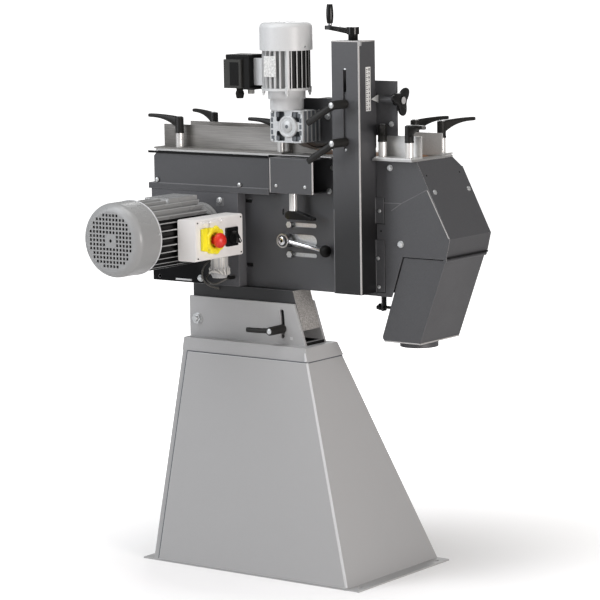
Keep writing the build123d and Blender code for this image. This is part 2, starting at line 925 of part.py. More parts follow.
# Motor: finned frame with a conical end bell and the mounting flange
flange_front = tray_front - motor_flange_thickness
bell_front = flange_front - motor_bell_length
frame_front = bell_front - motor_frame_length
with BuildPart() as motor_stator:
    with BuildSketch(front_plane(tray_front)):
        with Locations((motor_x, motor_z)):
            Circle(motor_flange_radius)
    extrude(amount=motor_flange_thickness)
    with BuildSketch(front_plane(flange_front)):
        with Locations((motor_x, motor_z)):
            Circle(motor_neck_radius)
    with BuildSketch(front_plane(bell_front)):
        with Locations((motor_x, motor_z)):
            Circle(motor_frame_radius)
    loft()
    with BuildSketch(front_plane(bell_front)):
        with Locations((motor_x, motor_z)):
            Circle(motor_frame_radius)
            with PolarLocations(motor_frame_radius, motor_fin_count):
                Rectangle(2 * motor_fin_height, motor_fin_thickness)
    extrude(amount=motor_frame_length)
    with BuildSketch(front_plane(bell_front)):
        with Locations(((motor_x + switch_left) / 2, (switch_bottom + switch_top) / 2)):
            Rectangle(switch_left - motor_x, motor_pad_width)
        with Locations((motor_x, motor_z + motor_frame_radius)):
            Rectangle(motor_pad_width, 2 * motor_fin_height)
    extrude(amount=motor_pad_length)
    with BuildSketch(front_plane(tray_front)):
        with Locations((motor_x, motor_z)):
            Circle(shaft_radius + shaft_fit)
    extrude(amount=tray_front - frame_front, mode=Mode.SUBTRACT)
save(motor_stator, "motor_stator")

# Fan cover: a spun cap with a round field of square holes
cover_rear_y = frame_front + fan_cover_lap
cover_front_y = cover_rear_y - fan_cover_length
motor_axis = Axis((motor_x, 0, motor_z), (0, 1, 0))
grille_reach = int(grille_field // grille_pitch)
grille_places = [
    (motor_x + i * grille_pitch, motor_z + j * grille_pitch)
    for i in range(-grille_reach, grille_reach + 1)
    for j in range(-grille_reach, grille_reach + 1)
    if max(abs(i), abs(j)) > 1 and hypot(i, j) * grille_pitch <= grille_field
]
with BuildPart() as motor_fan_cover:
    with BuildSketch(Plane((motor_x, 0, motor_z), x_dir=(1, 0, 0), z_dir=(0, 0, 1))):
        with BuildLine():
            outer_line = Polyline(
                (0, cover_front_y),
                (fan_cover_radius - fan_cover_round, cover_front_y),
            )
            outer_round = TangentArc(
                outer_line @ 1,
                (fan_cover_radius, cover_front_y + fan_cover_round),
                tangent=outer_line % 1,
            )
            Polyline(
                outer_round @ 1,
                (fan_cover_radius, cover_rear_y),
                (fan_cover_radius - fan_cover_wall, cover_rear_y),
                (fan_cover_radius - fan_cover_wall, cover_front_y + fan_cover_round),
            )
            inner_line = Polyline(
                (0, cover_front_y + fan_cover_wall),
                (fan_cover_radius - fan_cover_round, cover_front_y + fan_cover_wall),
            )
            TangentArc(
                inner_line @ 1,
                (fan_cover_radius - fan_cover_wall, cover_front_y + fan_cover_round),
                tangent=inner_line % 1,
            )
            Line((0, cover_front_y), (0, cover_front_y + fan_cover_wall))
        make_face()
    revolve(axis=motor_axis)
    with BuildSketch(front_plane(cover_front_y)):
        with Locations(*grille_places):
            Rectangle(grille_hole, grille_hole)
        with Locations((motor_x, motor_z)):
            Circle(grille_centre_hole)
    extrude(amount=-fan_cover_wall, mode=Mode.SUBTRACT)
    with BuildSketch(front_plane(frame_front)):
        with Locations((motor_x, motor_z)):
            Circle(fan_cover_radius - fan_cover_wall)
            Circle(motor_frame_radius + motor_fin_height, mode=Mode.SUBTRACT)
            with PolarLocations(motor_frame_radius + motor_fin_height, 4, start_angle=45):
                Rectangle(cover_lug_depth, cover_lug_width)
            Circle(motor_frame_radius + motor_fin_height, mode=Mode.SUBTRACT)
    extrude(amount=cover_lug_length)
save(motor_fan_cover, "motor_fan_cover")

# Rotor: the motor shaft with its cooling fan, which turns behind the grille
fan_radius = fan_cover_radius - fan_cover_round
fan_rear = frame_front - fan_gap
shaft_rear = belt_centre_y + wheel_width / 2
with BuildPart() as motor_rotor:
    with BuildSketch(front_plane(shaft_rear)):
        with Locations((motor_x, motor_z)):
            Circle(shaft_radius)
    extrude(amount=shaft_rear - fan_rear + fan_depth)
    with BuildSketch(front_plane(fan_rear)):
        with Locations((motor_x, motor_z)):
            Circle(fan_radius)
    extrude(amount=fan_disc)
    with BuildSketch(front_plane(fan_rear - fan_disc)):
        with Locations((motor_x, motor_z)):
            with PolarLocations(fan_radius / 2, fan_blades):
                Rectangle(fan_radius - fan_disc, fan_disc)
    extrude(amount=fan_depth - fan_disc)
save(motor_rotor, "motor_rotor")


def belt_wheel(label, x, z, radius, bore):
    """A belt wheel about the Y axis: hub, thin web and rim, turned as one profile."""
    front = belt_centre_y - wheel_width / 2
    rear = belt_centre_y + wheel_width / 2
    web_front = belt_centre_y - wheel_web / 2
    web_rear = belt_centre_y + wheel_web / 2
    hub = bore + wheel_hub
    rim = radius - wheel_rim
    with BuildPart() as wheel:
        with BuildSketch(Plane((x, 0, z), x_dir=(1, 0, 0), z_dir=(0, 0, 1))):
            with BuildLine():
                Polyline(
                    (bore, front),
                    (hub, front),
                    (hub, web_front),
                    (rim, web_front),
                    (rim, front),
                    (radius, front),
                    (radius, rear),
                    (rim, rear),
                    (rim, web_rear),
                    (hub, web_rear),
                    (hub, rear),
                    (bore, rear),
                    close=True,
                )
            make_face()
        revolve(axis=Axis((x, 0, z), (0, 1, 0)))
    save(wheel, label)


belt_wheel("drive_pulley", motor_x, motor_z, drive_radius, shaft_radius)
belt_wheel("contact_wheel", contact_x, contact_z, contact_radius, axle_radius + axle_fit)
belt_wheel("tension_roller", roller_x, roller_z, roller_radius, axle_radius + axle_fit)

# Abrasive belt: one closed band round the three wheels
wheel_circles = [
    (contact_x, contact_z, contact_radius),
    (motor_x, motor_z, drive_radius),
    (roller_x, roller_z, roller_radius),
]
belt_outer = []
belt_inner = []
for wheel_x, wheel_z, wheel_radius in wheel_circles:
    outer_circle = Pos(wheel_x, wheel_z) * Circle(wheel_radius + belt_gap + belt_thickness)
    inner_circle = Pos(wheel_x, wheel_z) * Circle(wheel_radius + belt_gap)
    belt_outer += outer_circle.edges()
    belt_inner += inner_circle.edges()
with BuildPart() as abrasive_belt:
    with BuildSketch(front_plane(belt_centre_y + belt_width / 2)) as belt_section:
        make_hull(belt_outer)
        make_hull(belt_inner, mode=Mode.SUBTRACT)
    extrude(amount=belt_width)
save(abrasive_belt, "abrasive_belt")
belt_length = abrasive_belt.part.volume / (belt_thickness * belt_width)
print(f"belt length along its middle: {belt_length:.0f} mm")

# Platen: the flat bed under the belt's top run, on a leg along the main plate
platen_top = belt_top - belt_thickness - belt_gap
with BuildPart() as belt_platen:
    with BuildSketch(side_plane(platen_left)):
        with BuildLine():
            Polyline(
                (main_plate_rear, table_bottom),
                (belt_centre_y - belt_width / 2, table_bottom),
                (belt_centre_y - belt_width / 2, platen_top),
                (belt_centre_y + belt_width / 2, platen_top),
                (belt_centre_y + belt_width / 2, table_bottom - platen_thickness),
                (main_plate_rear + platen_thickness, table_bottom - platen_thickness),
                (main_plate_rear + platen_thickness, table_bottom - platen_leg),
                (main_plate_rear, table_bottom - platen_leg),
                close=True,
            )
        make_face()
    extrude(amount=platen_right - platen_left)
save(belt_platen, "belt_platen")

# Tension slide: a zinc plate behind the slots, with an arm that carries the roller's axle
slide_front = main_plate_rear + slide_gap
slide_rear = slide_front + slide_thickness
roller_front = belt_centre_y - wheel_width / 2
arm_ends = Pos(roller_x, roller_z) * Circle(arm_end_radius)
arm_root = Pos(tension_hub_x, tension_upper_z) * Circle(arm_root_radius)
with BuildPart() as tension_slide:
    with BuildSketch(front_plane(slide_rear)):
        make_hull(arm_ends.edges() + arm_root.edges())
        with Locations((tension_hub_x + tension_travel / 2, tension_hub_z)):
            Rectangle(
                tension_travel + 4 * tension_hub_radius,
                tension_upper_z - tension_lower_z + 2 * tension_hub_radius,
            )
        for z in (tension_upper_z, tension_lower_z):
            with Locations((tension_bolt_x, z)):
                Circle(tension_bolt_radius, mode=Mode.SUBTRACT)
        with Locations((tension_hub_x, tension_hub_z)):
            Circle(stud_radius + stud_fit, mode=Mode.SUBTRACT)
    extrude(amount=slide_thickness)
    with BuildSketch(front_plane(slide_rear)):
        with Locations((roller_x, roller_z)):
            Circle(axle_radius)
    extrude(amount=-(shaft_rear - slide_rear))
    with BuildSketch(front_plane(slide_rear)):
        with Locations((roller_x, roller_z)):
            Circle(axle_shoulder_radius)
    extrude(amount=-(roller_front - running_gap - slide_rear))
save(tension_slide, "tension_slide")

# Two bolts that hold the slide against the main plate and run in its slots
with BuildPart() as tension_guide_bolts:
    for z in (tension_upper_z, tension_lower_z):
        with BuildSketch(front_plane(slide_rear)):
            with Locations((tension_bolt_x, z)):
                Circle(tension_bolt_radius)
        extrude(amount=slide_rear - main_plate_front + running_gap)
        with BuildSketch(front_plane(main_plate_front - running_gap)):
            with Locations((tension_bolt_x, z)):
                RegularPolygon(bolt_head_radius, 6)
        extrude(amount=bolt_head_height)
save(tension_guide_bolts, "tension_guide_bolts")

# Tension lever: a hub on the slide with a chrome rod and a ball knob
hub_rear = main_plate_front - running_gap
rod_y = hub_rear - tension_hub_length / 2
rod_start = Vector(tension_hub_x, rod_y, tension_hub_z)
rod_lean = radians(tension_rod_lean)
rod_droop = radians(tension_rod_droop)
rod_direction = Vector(cos(rod_droop) * cos(rod_lean), -sin(rod_lean), -sin(rod_droop) * cos(rod_lean))
rod_plane = Plane(origin=rod_start, x_dir=(sin(rod_droop), 0, cos(rod_droop)), z_dir=rod_direction)
with BuildPart() as tension_lever:
    with BuildSketch(front_plane(slide_rear)):
        with Locations((tension_hub_x, tension_hub_z)):
            Circle(stud_radius)
    extrude(amount=slide_rear - hub_rear)
    with BuildSketch(front_plane(hub_rear)):
        with Locations((tension_hub_x, tension_hub_z)):
            Circle(tension_hub_radius)
    extrude(amount=tension_hub_length)
    with BuildSketch(rod_plane):
        Circle(tension_rod_radius)
    extrude(amount=tension_rod_length + tension_hub_radius)
    knob_centre = rod_start + rod_direction * (tension_rod_length + tension_hub_radius)
    with Locations(knob_centre):
        Sphere(tension_knob_radius)
save(tension_lever, "tension_lever")

# Tables: two flat plates round the belt's window, with holes for the fence studs
window_front = belt_centre_y - belt_width / 2 - belt_window_margin
window_rear = belt_centre_y + belt_width / 2 + belt_window_margin
window_left = roller_x - roller_radius - belt_thickness - belt_window_margin
window_right = contact_x + contact_window
infeed_studs = (infeed_stud_left, infeed_stud_right)
outfeed_studs = (outfeed_stud_left, outfeed_stud_right)
infeed_rear_studs = (infeed_stud_left - rear_shift, infeed_stud_right - rear_shift)
outfeed_rear_studs = (outfeed_stud_left - rear_shift, outfeed_stud_right - rear_shift)


def stud_places(front_studs, rear_studs):
    front_row = [(x, fence_front_stud_y) for x in front_studs]
    return front_row + [(x, fence_rear_stud_y) for x in rear_studs]


with BuildPart() as infeed_table:
    with BuildSketch(Plane.XY.offset(table_bottom)):
        with Locations(((table_left + infeed_right) / 2, (infeed_front + table_rear) / 2)):
            Rectangle(infeed_right - table_left, table_rear - infeed_front)
        with Locations(((window_left + infeed_right) / 2, (window_front + window_rear) / 2)):
            Rectangle(infeed_right - window_left, window_rear - window_front, mode=Mode.SUBTRACT)
        with Locations(*stud_places(infeed_studs, infeed_rear_studs)):
            Circle(stud_radius + stud_fit, mode=Mode.SUBTRACT)
    extrude(amount=table_thickness)
save(infeed_table, "infeed_table")

with BuildPart() as outfeed_table:
    with BuildSketch(Plane.XY.offset(table_bottom)):
        with BuildLine():
            Polyline(
                (infeed_right, main_plate_front),
                (outfeed_left, main_plate_front),
                (outfeed_left, outfeed_front),
                (outfeed_right, outfeed_front),
                (outfeed_right, table_rear - cover_corner),
                (outfeed_right - cover_corner, table_rear),
                (infeed_right, table_rear),
                close=True,
            )
        make_face()
        with Locations(((infeed_right + window_right) / 2, (window_front + window_rear) / 2)):
            Rectangle(window_right - infeed_right, window_rear - window_front, mode=Mode.SUBTRACT)
        with Locations(*stud_places(outfeed_studs, outfeed_rear_studs)):
            Circle(stud_radius + stud_fit, mode=Mode.SUBTRACT)
    extrude(amount=table_thickness)
save(outfeed_table, "outfeed_table")

# Fences: four angle bars whose slotted feet are clamped on the table


def fence(label, left, right, height, studs, face_y, outward):
    """An angle bar with an upright at face_y and a slotted foot on the outward side."""
    stud_y = face_y + outward * fence_stud_offset
    upright_y = face_y - outward * fence_thickness / 2
    foot_edge = face_y + outward * fence_foot_width
    with BuildPart() as bar:
        with BuildSketch(Plane.XY.offset(table_top)):
            with Locations(((left + right) / 2, upright_y)):
                Rectangle(right - left, fence_thickness)
        extrude(amount=height)
        with BuildSketch(Plane.XY.offset(table_top)):
            with Locations(((left + right) / 2, (upright_y + foot_edge) / 2)):
                Rectangle(right - left, abs(foot_edge - upright_y))
            with Locations(*[(x, stud_y + outward * fence_travel / 2) for x in studs]):
                SlotCenterToCenter(
                    fence_travel, 2 * (stud_radius + slot_clearance), rotation=90, mode=Mode.SUBTRACT
                )
        extrude(amount=fence_foot)
    save(bar, label)


infeed_span = (infeed_fence_left, infeed_fence_right, fence_height)
outfeed_span = (outfeed_fence_left, outfeed_fence_right, outfeed_fence_height)
outfeed_rear_left = outfeed_fence_left - rear_shift
outfeed_rear_span = (outfeed_rear_left, outfeed_fence_right - rear_shift, outfeed_fence_height)
fence("infeed_front_fence", *infeed_span, infeed_studs, fence_front_y, -1)
fence("infeed_rear_fence", *infeed_span, infeed_rear_studs, fence_rear_y, 1)
fence("outfeed_front_fence", *outfeed_span, outfeed_studs, fence_front_y, -1)
fence("outfeed_rear_fence", *outfeed_rear_span, outfeed_rear_studs, fence_rear_y, 1)

# Spacer sleeves under the levers of the fences and under the front box
sleeve_bottom = table_top + fence_foot + running_gap
with BuildPart() as lever_sleeves:
    with BuildSketch(Plane.XY.offset(sleeve_bottom)):
        with Locations(
            *stud_places(infeed_studs, infeed_rear_studs), *stud_places(outfeed_studs, outfeed_rear_studs)
        ):
            Circle(sleeve_radius)
            Circle(stud_radius + stud_fit, mode=Mode.SUBTRACT)
    extrude(amount=sleeve_height)
    with BuildSketch(Plane.XY.offset(box_bottom)):
        with Locations((box_lever_x, column_middle_y)):
            Circle(sleeve_radius)
            Circle(stud_radius + stud_fit, mode=Mode.SUBTRACT)
    extrude(amount=-box_sleeve_height)
save(lever_sleeves, "lever_sleeves")


def clamp_lever(label, seat, radius, stud_length, hub_height=lever_hub_height, reach=lever_reach):
    """Clamp lever: a tapered hub on a stud, with an arm that curves up and out.

    The seat plane's origin is under the hub, its z points out of the hub's top and its
    x points along the arm.
    """
    side = Plane(origin=seat.origin, x_dir=seat.x_dir, z_dir=-seat.y_dir)
    rise = hub_height + lever_lift
    with BuildPart() as lever:
        with BuildSketch(side):
            with BuildLine():
                Polyline(
                    (0, -stud_length),
                    (radius, -stud_length),
                    (radius, 0),
                    (lever_hub_radius, 0),
                    (lever_hub_top_radius, hub_height),
                    (0, hub_height),
                    close=True,
                )
            make_face()
        revolve(axis=Axis(seat.origin, seat.z_dir))
        with BuildSketch(side):
            with BuildLine():
                under = ThreePointArc(
                    (lever_hub_top_radius / 2, hub_height - 0.75 * lever_hub_height),
                    (reach / 3, hub_height - 0.28 * lever_hub_height),
                    (reach, rise - lever_tip),
                )
                tip = Line(under @ 1, (reach, rise))
                over = ThreePointArc(
                    tip @ 1,
                    (reach / 2, rise - 0.2 * lever_tip),
                    (lever_hub_top_radius / 2, hub_height),
                )
                Line(over @ 1, under @ 0)
            make_face()
        extrude(amount=lever_width / 2, both=True)
    save(lever, label)


def arm_direction(angle):
    return (cos(radians(angle)), sin(radians(angle)), 0)


lever_seat = sleeve_bottom + sleeve_height
fence_stud = lever_seat - table_bottom
for label, x, y, angle in (
    ("infeed_lever_1", infeed_stud_left, fence_front_stud_y, 180),
    ("infeed_lever_2", infeed_rear_studs[0], fence_rear_stud_y, 160),
    ("infeed_lever_3", infeed_stud_right, fence_front_stud_y, 180),
    ("infeed_lever_4", infeed_rear_studs[1], fence_rear_stud_y, 160),
    ("outfeed_lever_1", outfeed_stud_left, fence_front_stud_y, -55),
    ("outfeed_lever_2", outfeed_stud_right, fence_front_stud_y, -35),
    ("outfeed_lever_3", outfeed_rear_studs[0], fence_rear_stud_y, 68),
    ("outfeed_lever_4", outfeed_rear_studs[1], fence_rear_stud_y, 68),
):
    seat = Plane(origin=(x, y, lever_seat), x_dir=arm_direction(angle), z_dir=(0, 0, 1))
    clamp_lever(label, seat, stud_radius, fence_stud)

for label, z in (("column_lever_upper", upper_lever_z), ("column_lever_lower", lower_lever_z)):
    droop = radians(column_lever_droop)
    seat = Plane(
        origin=(column_slot_x, column_front, z),
        x_dir=(-cos(droop), 0, -sin(droop)),
        z_dir=(0, -1, 0),
    )
    clamp_lever(label, seat, column_stud_radius, column_stud_depth, long_hub_height, column_lever_reach)

tilt_seat = Plane(
    origin=(clamp_x, cheek_front - plate_thickness, clamp_z), x_dir=(-1, 0, 0), z_dir=(0, -1, 0)
)
tilt_stud = plate_thickness + side_clearance + carrier_wall
clamp_lever("tilt_lever", tilt_seat, stud_radius, tilt_stud, long_hub_height, tilt_lever_reach)

# Wing lever under the front box: a wedge-shaped handle with a short heel, on a long stud
wing_top = box_bottom - box_sleeve_height
with BuildPart() as box_lever:
    with BuildSketch(front_plane(column_middle_y)):
        with BuildLine():
            Polyline(
                (box_lever_x - wing_heel, wing_top - wing_height / 3),
                (box_lever_x - wing_heel, wing_top - wing_height + wing_tip),
                (box_lever_x - wing_heel / 2, wing_top - wing_height),
                (box_lever_x + wing_reach, wing_top - wing_height),
                (box_lever_x + wing_reach, wing_top - wing_height + wing_tip),
                (box_lever_x + lever_hub_radius, wing_top),
                (box_lever_x - lever_hub_radius, wing_top),
                close=True,
            )
        make_face()
    extrude(amount=wing_width / 2, both=True)
    fillet(box_lever.edges().filter_by(Axis.Z), wing_width / 3)
    with BuildSketch(Plane.XY.offset(wing_top)):
        with Locations((box_lever_x, column_middle_y)):
            Circle(stud_radius)
    extrude(amount=box_sleeve_height + sheet)
save(box_lever, "box_lever")

# Skirt: the folded apron under the infeed table, with its bottom rail
skirt_rear = infeed_front + sheet
skirt_bottom = tray_top + rail_height
with BuildPart() as table_skirt:
    with BuildSketch(front_plane(skirt_rear)):
        with BuildLine():
            Polyline(
                (skirt_left, skirt_bottom),
                (skirt_right, skirt_bottom),
                (skirt_right, table_bottom),
                (skirt_left + skirt_corner, table_bottom),
                (skirt_left, table_bottom - skirt_corner),
                close=True,
            )
        make_face()
    extrude(amount=sheet)
    with BuildSketch(front_plane(main_plate_front)):
        with Locations(((rail_left + skirt_right) / 2, tray_top + rail_height / 2)):
            Rectangle(skirt_right - rail_left, rail_height)
    extrude(amount=main_plate_front - infeed_front + sheet)
save(table_skirt, "table_skirt")

# Front box: a folded channel beside the column, open at its right end
with BuildPart() as front_box:
    with BuildSketch(side_plane(box_left)):
        with BuildLine():
            Polyline(
                (main_plate_front, table_bottom),
                (column_front, table_bottom),
                (column_front, box_bottom),
                (main_plate_front, box_bottom),
                (main_plate_front, box_bottom + sheet),
                (column_front + sheet, box_bottom + sheet),
                (column_front + sheet, table_bottom - sheet),
                (main_plate_front, table_bottom - sheet),
                close=True,
            )
        make_face()
    extrude(amount=box_right - box_left)
    with BuildSketch(side_plane(box_left)):
        with Locations(((main_plate_front + column_front) / 2, (box_bottom + table_bottom) / 2)):
            Rectangle(column_depth, table_bottom - box_bottom)
    extrude(amount=sheet)
    with BuildSketch(Plane.XY.offset(box_bottom)):
        with Locations((box_lever_x, column_middle_y)):
            Circle(stud_radius + stud_fit)
    extrude(amount=sheet, mode=Mode.SUBTRACT)
save(front_box, "front_box")

# Column: a folded channel, open at the back, with the clamp slot and a cap
with BuildPart() as column:
    with BuildSketch(Plane.XY.offset(column_bottom)):
        with Locations((column_left + column_width / 2, column_middle_y)):
            Rectangle(column_width, column_depth)
        with Locations((column_left + column_width / 2, column_middle_y + column_sheet / 2)):
            Rectangle(
                column_width - 2 * column_sheet, column_depth - column_sheet, mode=Mode.SUBTRACT
            )
    extrude(amount=column_top - column_bottom)
    with BuildSketch(Plane.XY.offset(column_top)):
        with Locations((column_left + column_width / 2, column_middle_y)):
            Rectangle(column_width, column_depth)
        with Locations((crank_x, column_middle_y)):
            Circle(screw_radius + screw_fit, mode=Mode.SUBTRACT)
    extrude(amount=column_cap)
    with BuildSketch(front_plane(column_front)):
        with Locations((column_slot_x, (column_slot_bottom + column_slot_top) / 2)):
            SlotOverall(column_slot_top - column_slot_bottom, column_slot_width, rotation=90)
    extrude(amount=-column_sheet, mode=Mode.SUBTRACT)
save(column, "column")

# Scale strip on the column's side
with BuildPart() as scale_strip:
    with BuildSketch(side_plane(column_right)):
        with Locations((scale_y, scale_bottom + scale_length / 2)):
            Rectangle(scale_width, scale_length)
    extrude(amount=scale_thickness)
save(scale_strip, "scale_strip")

# Carriage: the plate behind the column with its slider in the channel, the boss for the
# star knob and the pointer beside the scale
pointer_x = column_right + scale_thickness + running_gap
star_y = carriage_front - star_boss_offset
slider_left = column_left + column_sheet + slider_clearance
slider_right = column_right - column_sheet - slider_clearance
slider_front = column_front + column_sheet + slider_clearance
with BuildPart() as carriage_plate:
    with BuildSketch(front_plane(carriage_rear)):
        with BuildLine():
            Polyline(
                (carriage_left, carriage_bottom),
                (column_left, carriage_bottom),
                (column_left, carriage_wing_bottom),
                (carriage_right, carriage_wing_bottom),
                (carriage_right, carriage_wing_top),
                (column_left, carriage_wing_top),
                (column_left, carriage_shoulder),
                (carriage_left, carriage_shoulder),
                close=True,
            )
        make_face()
        with Locations((feed_axis_x, feed_axis_z)):
            Circle(feed_shaft_window, mode=Mode.SUBTRACT)
    extrude(amount=carriage_thickness)
    with BuildSketch(Plane.XY.offset(slider_bottom)):
        with Locations(((slider_left + slider_right) / 2, (slider_front + carriage_front) / 2)):
            Rectangle(slider_right - slider_left, carriage_front - slider_front)
        with Locations((crank_x, column_middle_y)):
            Circle(screw_radius + screw_fit, mode=Mode.SUBTRACT)
    extrude(amount=slider_top - slider_bottom)
    with BuildSketch(front_plane(slider_front)):
        with Locations((column_slot_x, upper_lever_z), (column_slot_x, lower_lever_z)):
            Circle(column_stud_radius + stud_fit)
    extrude(amount=-column_stud_depth, mode=Mode.SUBTRACT)
    with BuildSketch(side_plane(carriage_right)):
        with Locations((star_y, star_knob_z)):
            Circle(star_boss_radius)
    extrude(amount=-star_boss_length)
    with BuildSketch(side_plane(carriage_right)):
        with Locations((star_y, star_knob_z)):
            Circle(star_bolt_radius + stud_fit)
    extrude(amount=-star_bolt_depth, mode=Mode.SUBTRACT)
    with BuildSketch(side_plane(pointer_x)):
        with BuildLine():
            Polyline(
                (carriage_front, star_knob_z - pointer_drop),
                (carriage_front, star_knob_z + pointer_rise),
                (scale_y + scale_width / 2, star_knob_z + pointer_tip),
                close=True,
            )
        make_face()
    extrude(amount=pointer_thickness)
save(carriage_plate, "carriage_plate")

# Worm gearbox: a ribbed housing with a round output boss, bolted to the carriage
with BuildPart() as feed_gearbox:
    with BuildSketch(front_plane(gearbox_rear)):
        with Locations((gearbox_x, feed_axis_z)):
            RectangleRounded(gearbox_width, gearbox_height, gearbox_round)
    extrude(amount=gearbox_depth)
    with BuildSketch(front_plane(gearbox_front)):
        with Locations((feed_axis_x, feed_axis_z)):
            with GridLocations(gearbox_pocket_pitch, gearbox_pocket_pitch, 2, 2):
                RectangleRounded(gearbox_pocket, gearbox_pocket, gearbox_pocket_round)
            Circle(gearbox_boss_radius + gearbox_boss_groove, mode=Mode.SUBTRACT)
    extrude(amount=-gearbox_pocket_depth, mode=Mode.SUBTRACT)
    with BuildSketch(side_plane(gearbox_x + gearbox_width / 2)):
        with Locations((gearbox_middle_y, feed_axis_z)):
            with GridLocations(gearbox_groove_pitch, 1, 3, 1):
                Rectangle(gearbox_groove_width, gearbox_groove_length)
    extrude(amount=-gearbox_groove_depth, mode=Mode.SUBTRACT)
    with BuildSketch(front_plane(gearbox_front)):
        with Locations((feed_axis_x, feed_axis_z)):
            Circle(gearbox_boss_radius)
    extrude(amount=gearbox_boss_height)
    with BuildSketch(front_plane(carriage_front)):
        with Locations((feed_axis_x, feed_axis_z)):
            Circle(gearbox_neck_radius)
    extrude(amount=gearbox_rear_gap)
    with BuildSketch(front_plane(carriage_front)):
        with Locations((feed_axis_x, feed_axis_z)):
            Circle(feed_shaft_radius + feed_shaft_fit)
    extrude(amount=gearbox_rear_gap + gearbox_depth, mode=Mode.SUBTRACT)
save(feed_gearbox, "feed_gearbox")

# Feed motor: upright on the gearbox, with a turned bell and a finned body
feed_bell_bottom = feed_motor_bottom + feed_neck_height
feed_body_bottom = feed_bell_bottom + feed_bell_height
feed_body_top = feed_body_bottom + feed_body_height
with BuildPart() as feed_motor:
    with BuildSketch(Plane.XY.offset(feed_motor_bottom)):
        with Locations((feed_motor_x, gearbox_middle_y)):
            Circle(feed_neck_radius)
    extrude(amount=feed_neck_height)
    with BuildSketch(Plane.XY.offset(feed_bell_bottom)):
        with Locations((feed_motor_x, gearbox_middle_y)):
            Circle(feed_bell_radius)
    extrude(amount=feed_bell_height)
    with BuildSketch(Plane.XY.offset(feed_body_bottom)):
        with Locations((feed_motor_x, gearbox_middle_y)):
            Circle(feed_motor_radius)
            with PolarLocations(feed_motor_radius, feed_motor_fin_count):
                Rectangle(2 * feed_motor_fin, feed_motor_fin_thickness)
    extrude(amount=feed_body_height)
    with BuildSketch(Plane.XY.offset(feed_body_bottom)):
        with Locations((feed_motor_x - (feed_motor_radius + feed_motor_fin) / 2, gearbox_middle_y)):
            Rectangle(feed_motor_radius + feed_motor_fin, feed_motor_pad)
    extrude(amount=feed_body_height - feed_cover_lap)
save(feed_motor, "feed_motor")

# Fan cover of the feed motor: a spun cap over the top of the fins
feed_cover_bottom = feed_body_top - feed_cover_lap
with BuildPart() as feed_fan_cover:
    with BuildSketch(Plane.XY.offset(feed_cover_bottom)):
        with Locations((feed_motor_x, gearbox_middle_y)):
            Circle(feed_cover_radius)
    extrude(amount=feed_cover_height)
    fillet(feed_fan_cover.faces().sort_by(Axis.Z)[-1].edges(), feed_cover_round)
    with BuildSketch(Plane.XY.offset(feed_cover_bottom)):
        with Locations((feed_motor_x, gearbox_middle_y)):
            Circle(feed_motor_radius + feed_motor_fin + running_gap)
    extrude(amount=feed_cover_lap, mode=Mode.SUBTRACT)
    with BuildSketch(Plane.XY.offset(feed_body_top)):
        with Locations((feed_motor_x, gearbox_middle_y)):
            Circle(feed_cover_radius - feed_cover_round)
    extrude(amount=feed_cover_height - feed_cover_lap - fan_cover_wall, mode=Mode.SUBTRACT)
    with BuildSketch(Plane.XY.offset(feed_cover_bottom + feed_cover_height)):
        with Locations((feed_motor_x, gearbox_middle_y)):
            with PolarLocations(feed_vent_circle, feed_vent_count):
                SlotOverall(feed_vent_length, feed_vent_width)
    extrude(amount=-fan_cover_wall, mode=Mode.SUBTRACT)
save(feed_fan_cover, "feed_fan_cover")

# Terminal box of the feed motor with its two cable glands
terminal_root = feed_motor_x - feed_motor_radius - feed_motor_fin
terminal_right = terminal_root - terminal_neck
terminal_x = terminal_right - terminal_width / 2
terminal_y = gearbox_middle_y - terminal_shift
terminal_middle_z = feed_body_bottom + feed_body_height / 2 - terminal_drop
terminal_bottom = terminal_middle_z - terminal_height / 2
with BuildPart() as feed_terminal_box:
    with BuildSketch(Plane.XY.offset(terminal_bottom)):
        with Locations((terminal_x, terminal_y)):
            RectangleRounded(terminal_width, terminal_depth, terminal_round)
    extrude(amount=terminal_height)
    with BuildSketch(Plane.XY.offset(terminal_bottom + terminal_round)):
        with Locations(((terminal_x + terminal_root) / 2, gearbox_middle_y)):
            Rectangle(terminal_root - terminal_x, feed_motor_pad)
    extrude(amount=terminal_height - 2 * terminal_round)
    with BuildSketch(Plane.XY.offset(terminal_bottom)):
        with Locations(
            (terminal_x + gland_inset, terminal_y - gland_pitch / 2),
            (terminal_x + gland_inset + gland_stagger, terminal_y + gland_pitch / 2),
        ):
            Circle(gland_radius)
    extrude(amount=-gland_length)
save(feed_terminal_box, "feed_terminal_box")

# Feed wheel: a rubber-tyred wheel on the gearbox's output shaft
feed_wheel_front = belt_centre_y - feed_wheel_width / 2
feed_wheel_rear = belt_centre_y + feed_wheel_width / 2
with BuildPart() as feed_wheel:
    with BuildSketch(Plane((feed_axis_x, 0, feed_axis_z), x_dir=(1, 0, 0), z_dir=(0, 0, 1))):
        with BuildLine():
            Polyline(
                (0, gearbox_front),
                (feed_shaft_radius, gearbox_front),
                (feed_shaft_radius, feed_wheel_front),
                (feed_wheel_radius - feed_wheel_chamfer, feed_wheel_front),
                (feed_wheel_radius, feed_wheel_front + feed_wheel_chamfer),
                (feed_wheel_radius, feed_wheel_rear - feed_wheel_chamfer),
                (feed_wheel_radius - feed_wheel_chamfer, feed_wheel_rear),
                (feed_wheel_radius - feed_wheel_rubber, feed_wheel_rear),
                (feed_wheel_radius - feed_wheel_rubber, belt_centre_y),
                (2 * feed_shaft_radius, belt_centre_y),
                (2 * feed_shaft_radius, feed_wheel_rear),
                (0, feed_wheel_rear),
                close=True,
            )
        make_face()
    revolve(axis=Axis((feed_axis_x, 0, feed_axis_z), (0, 1, 0)))
save(feed_wheel, "feed_wheel")

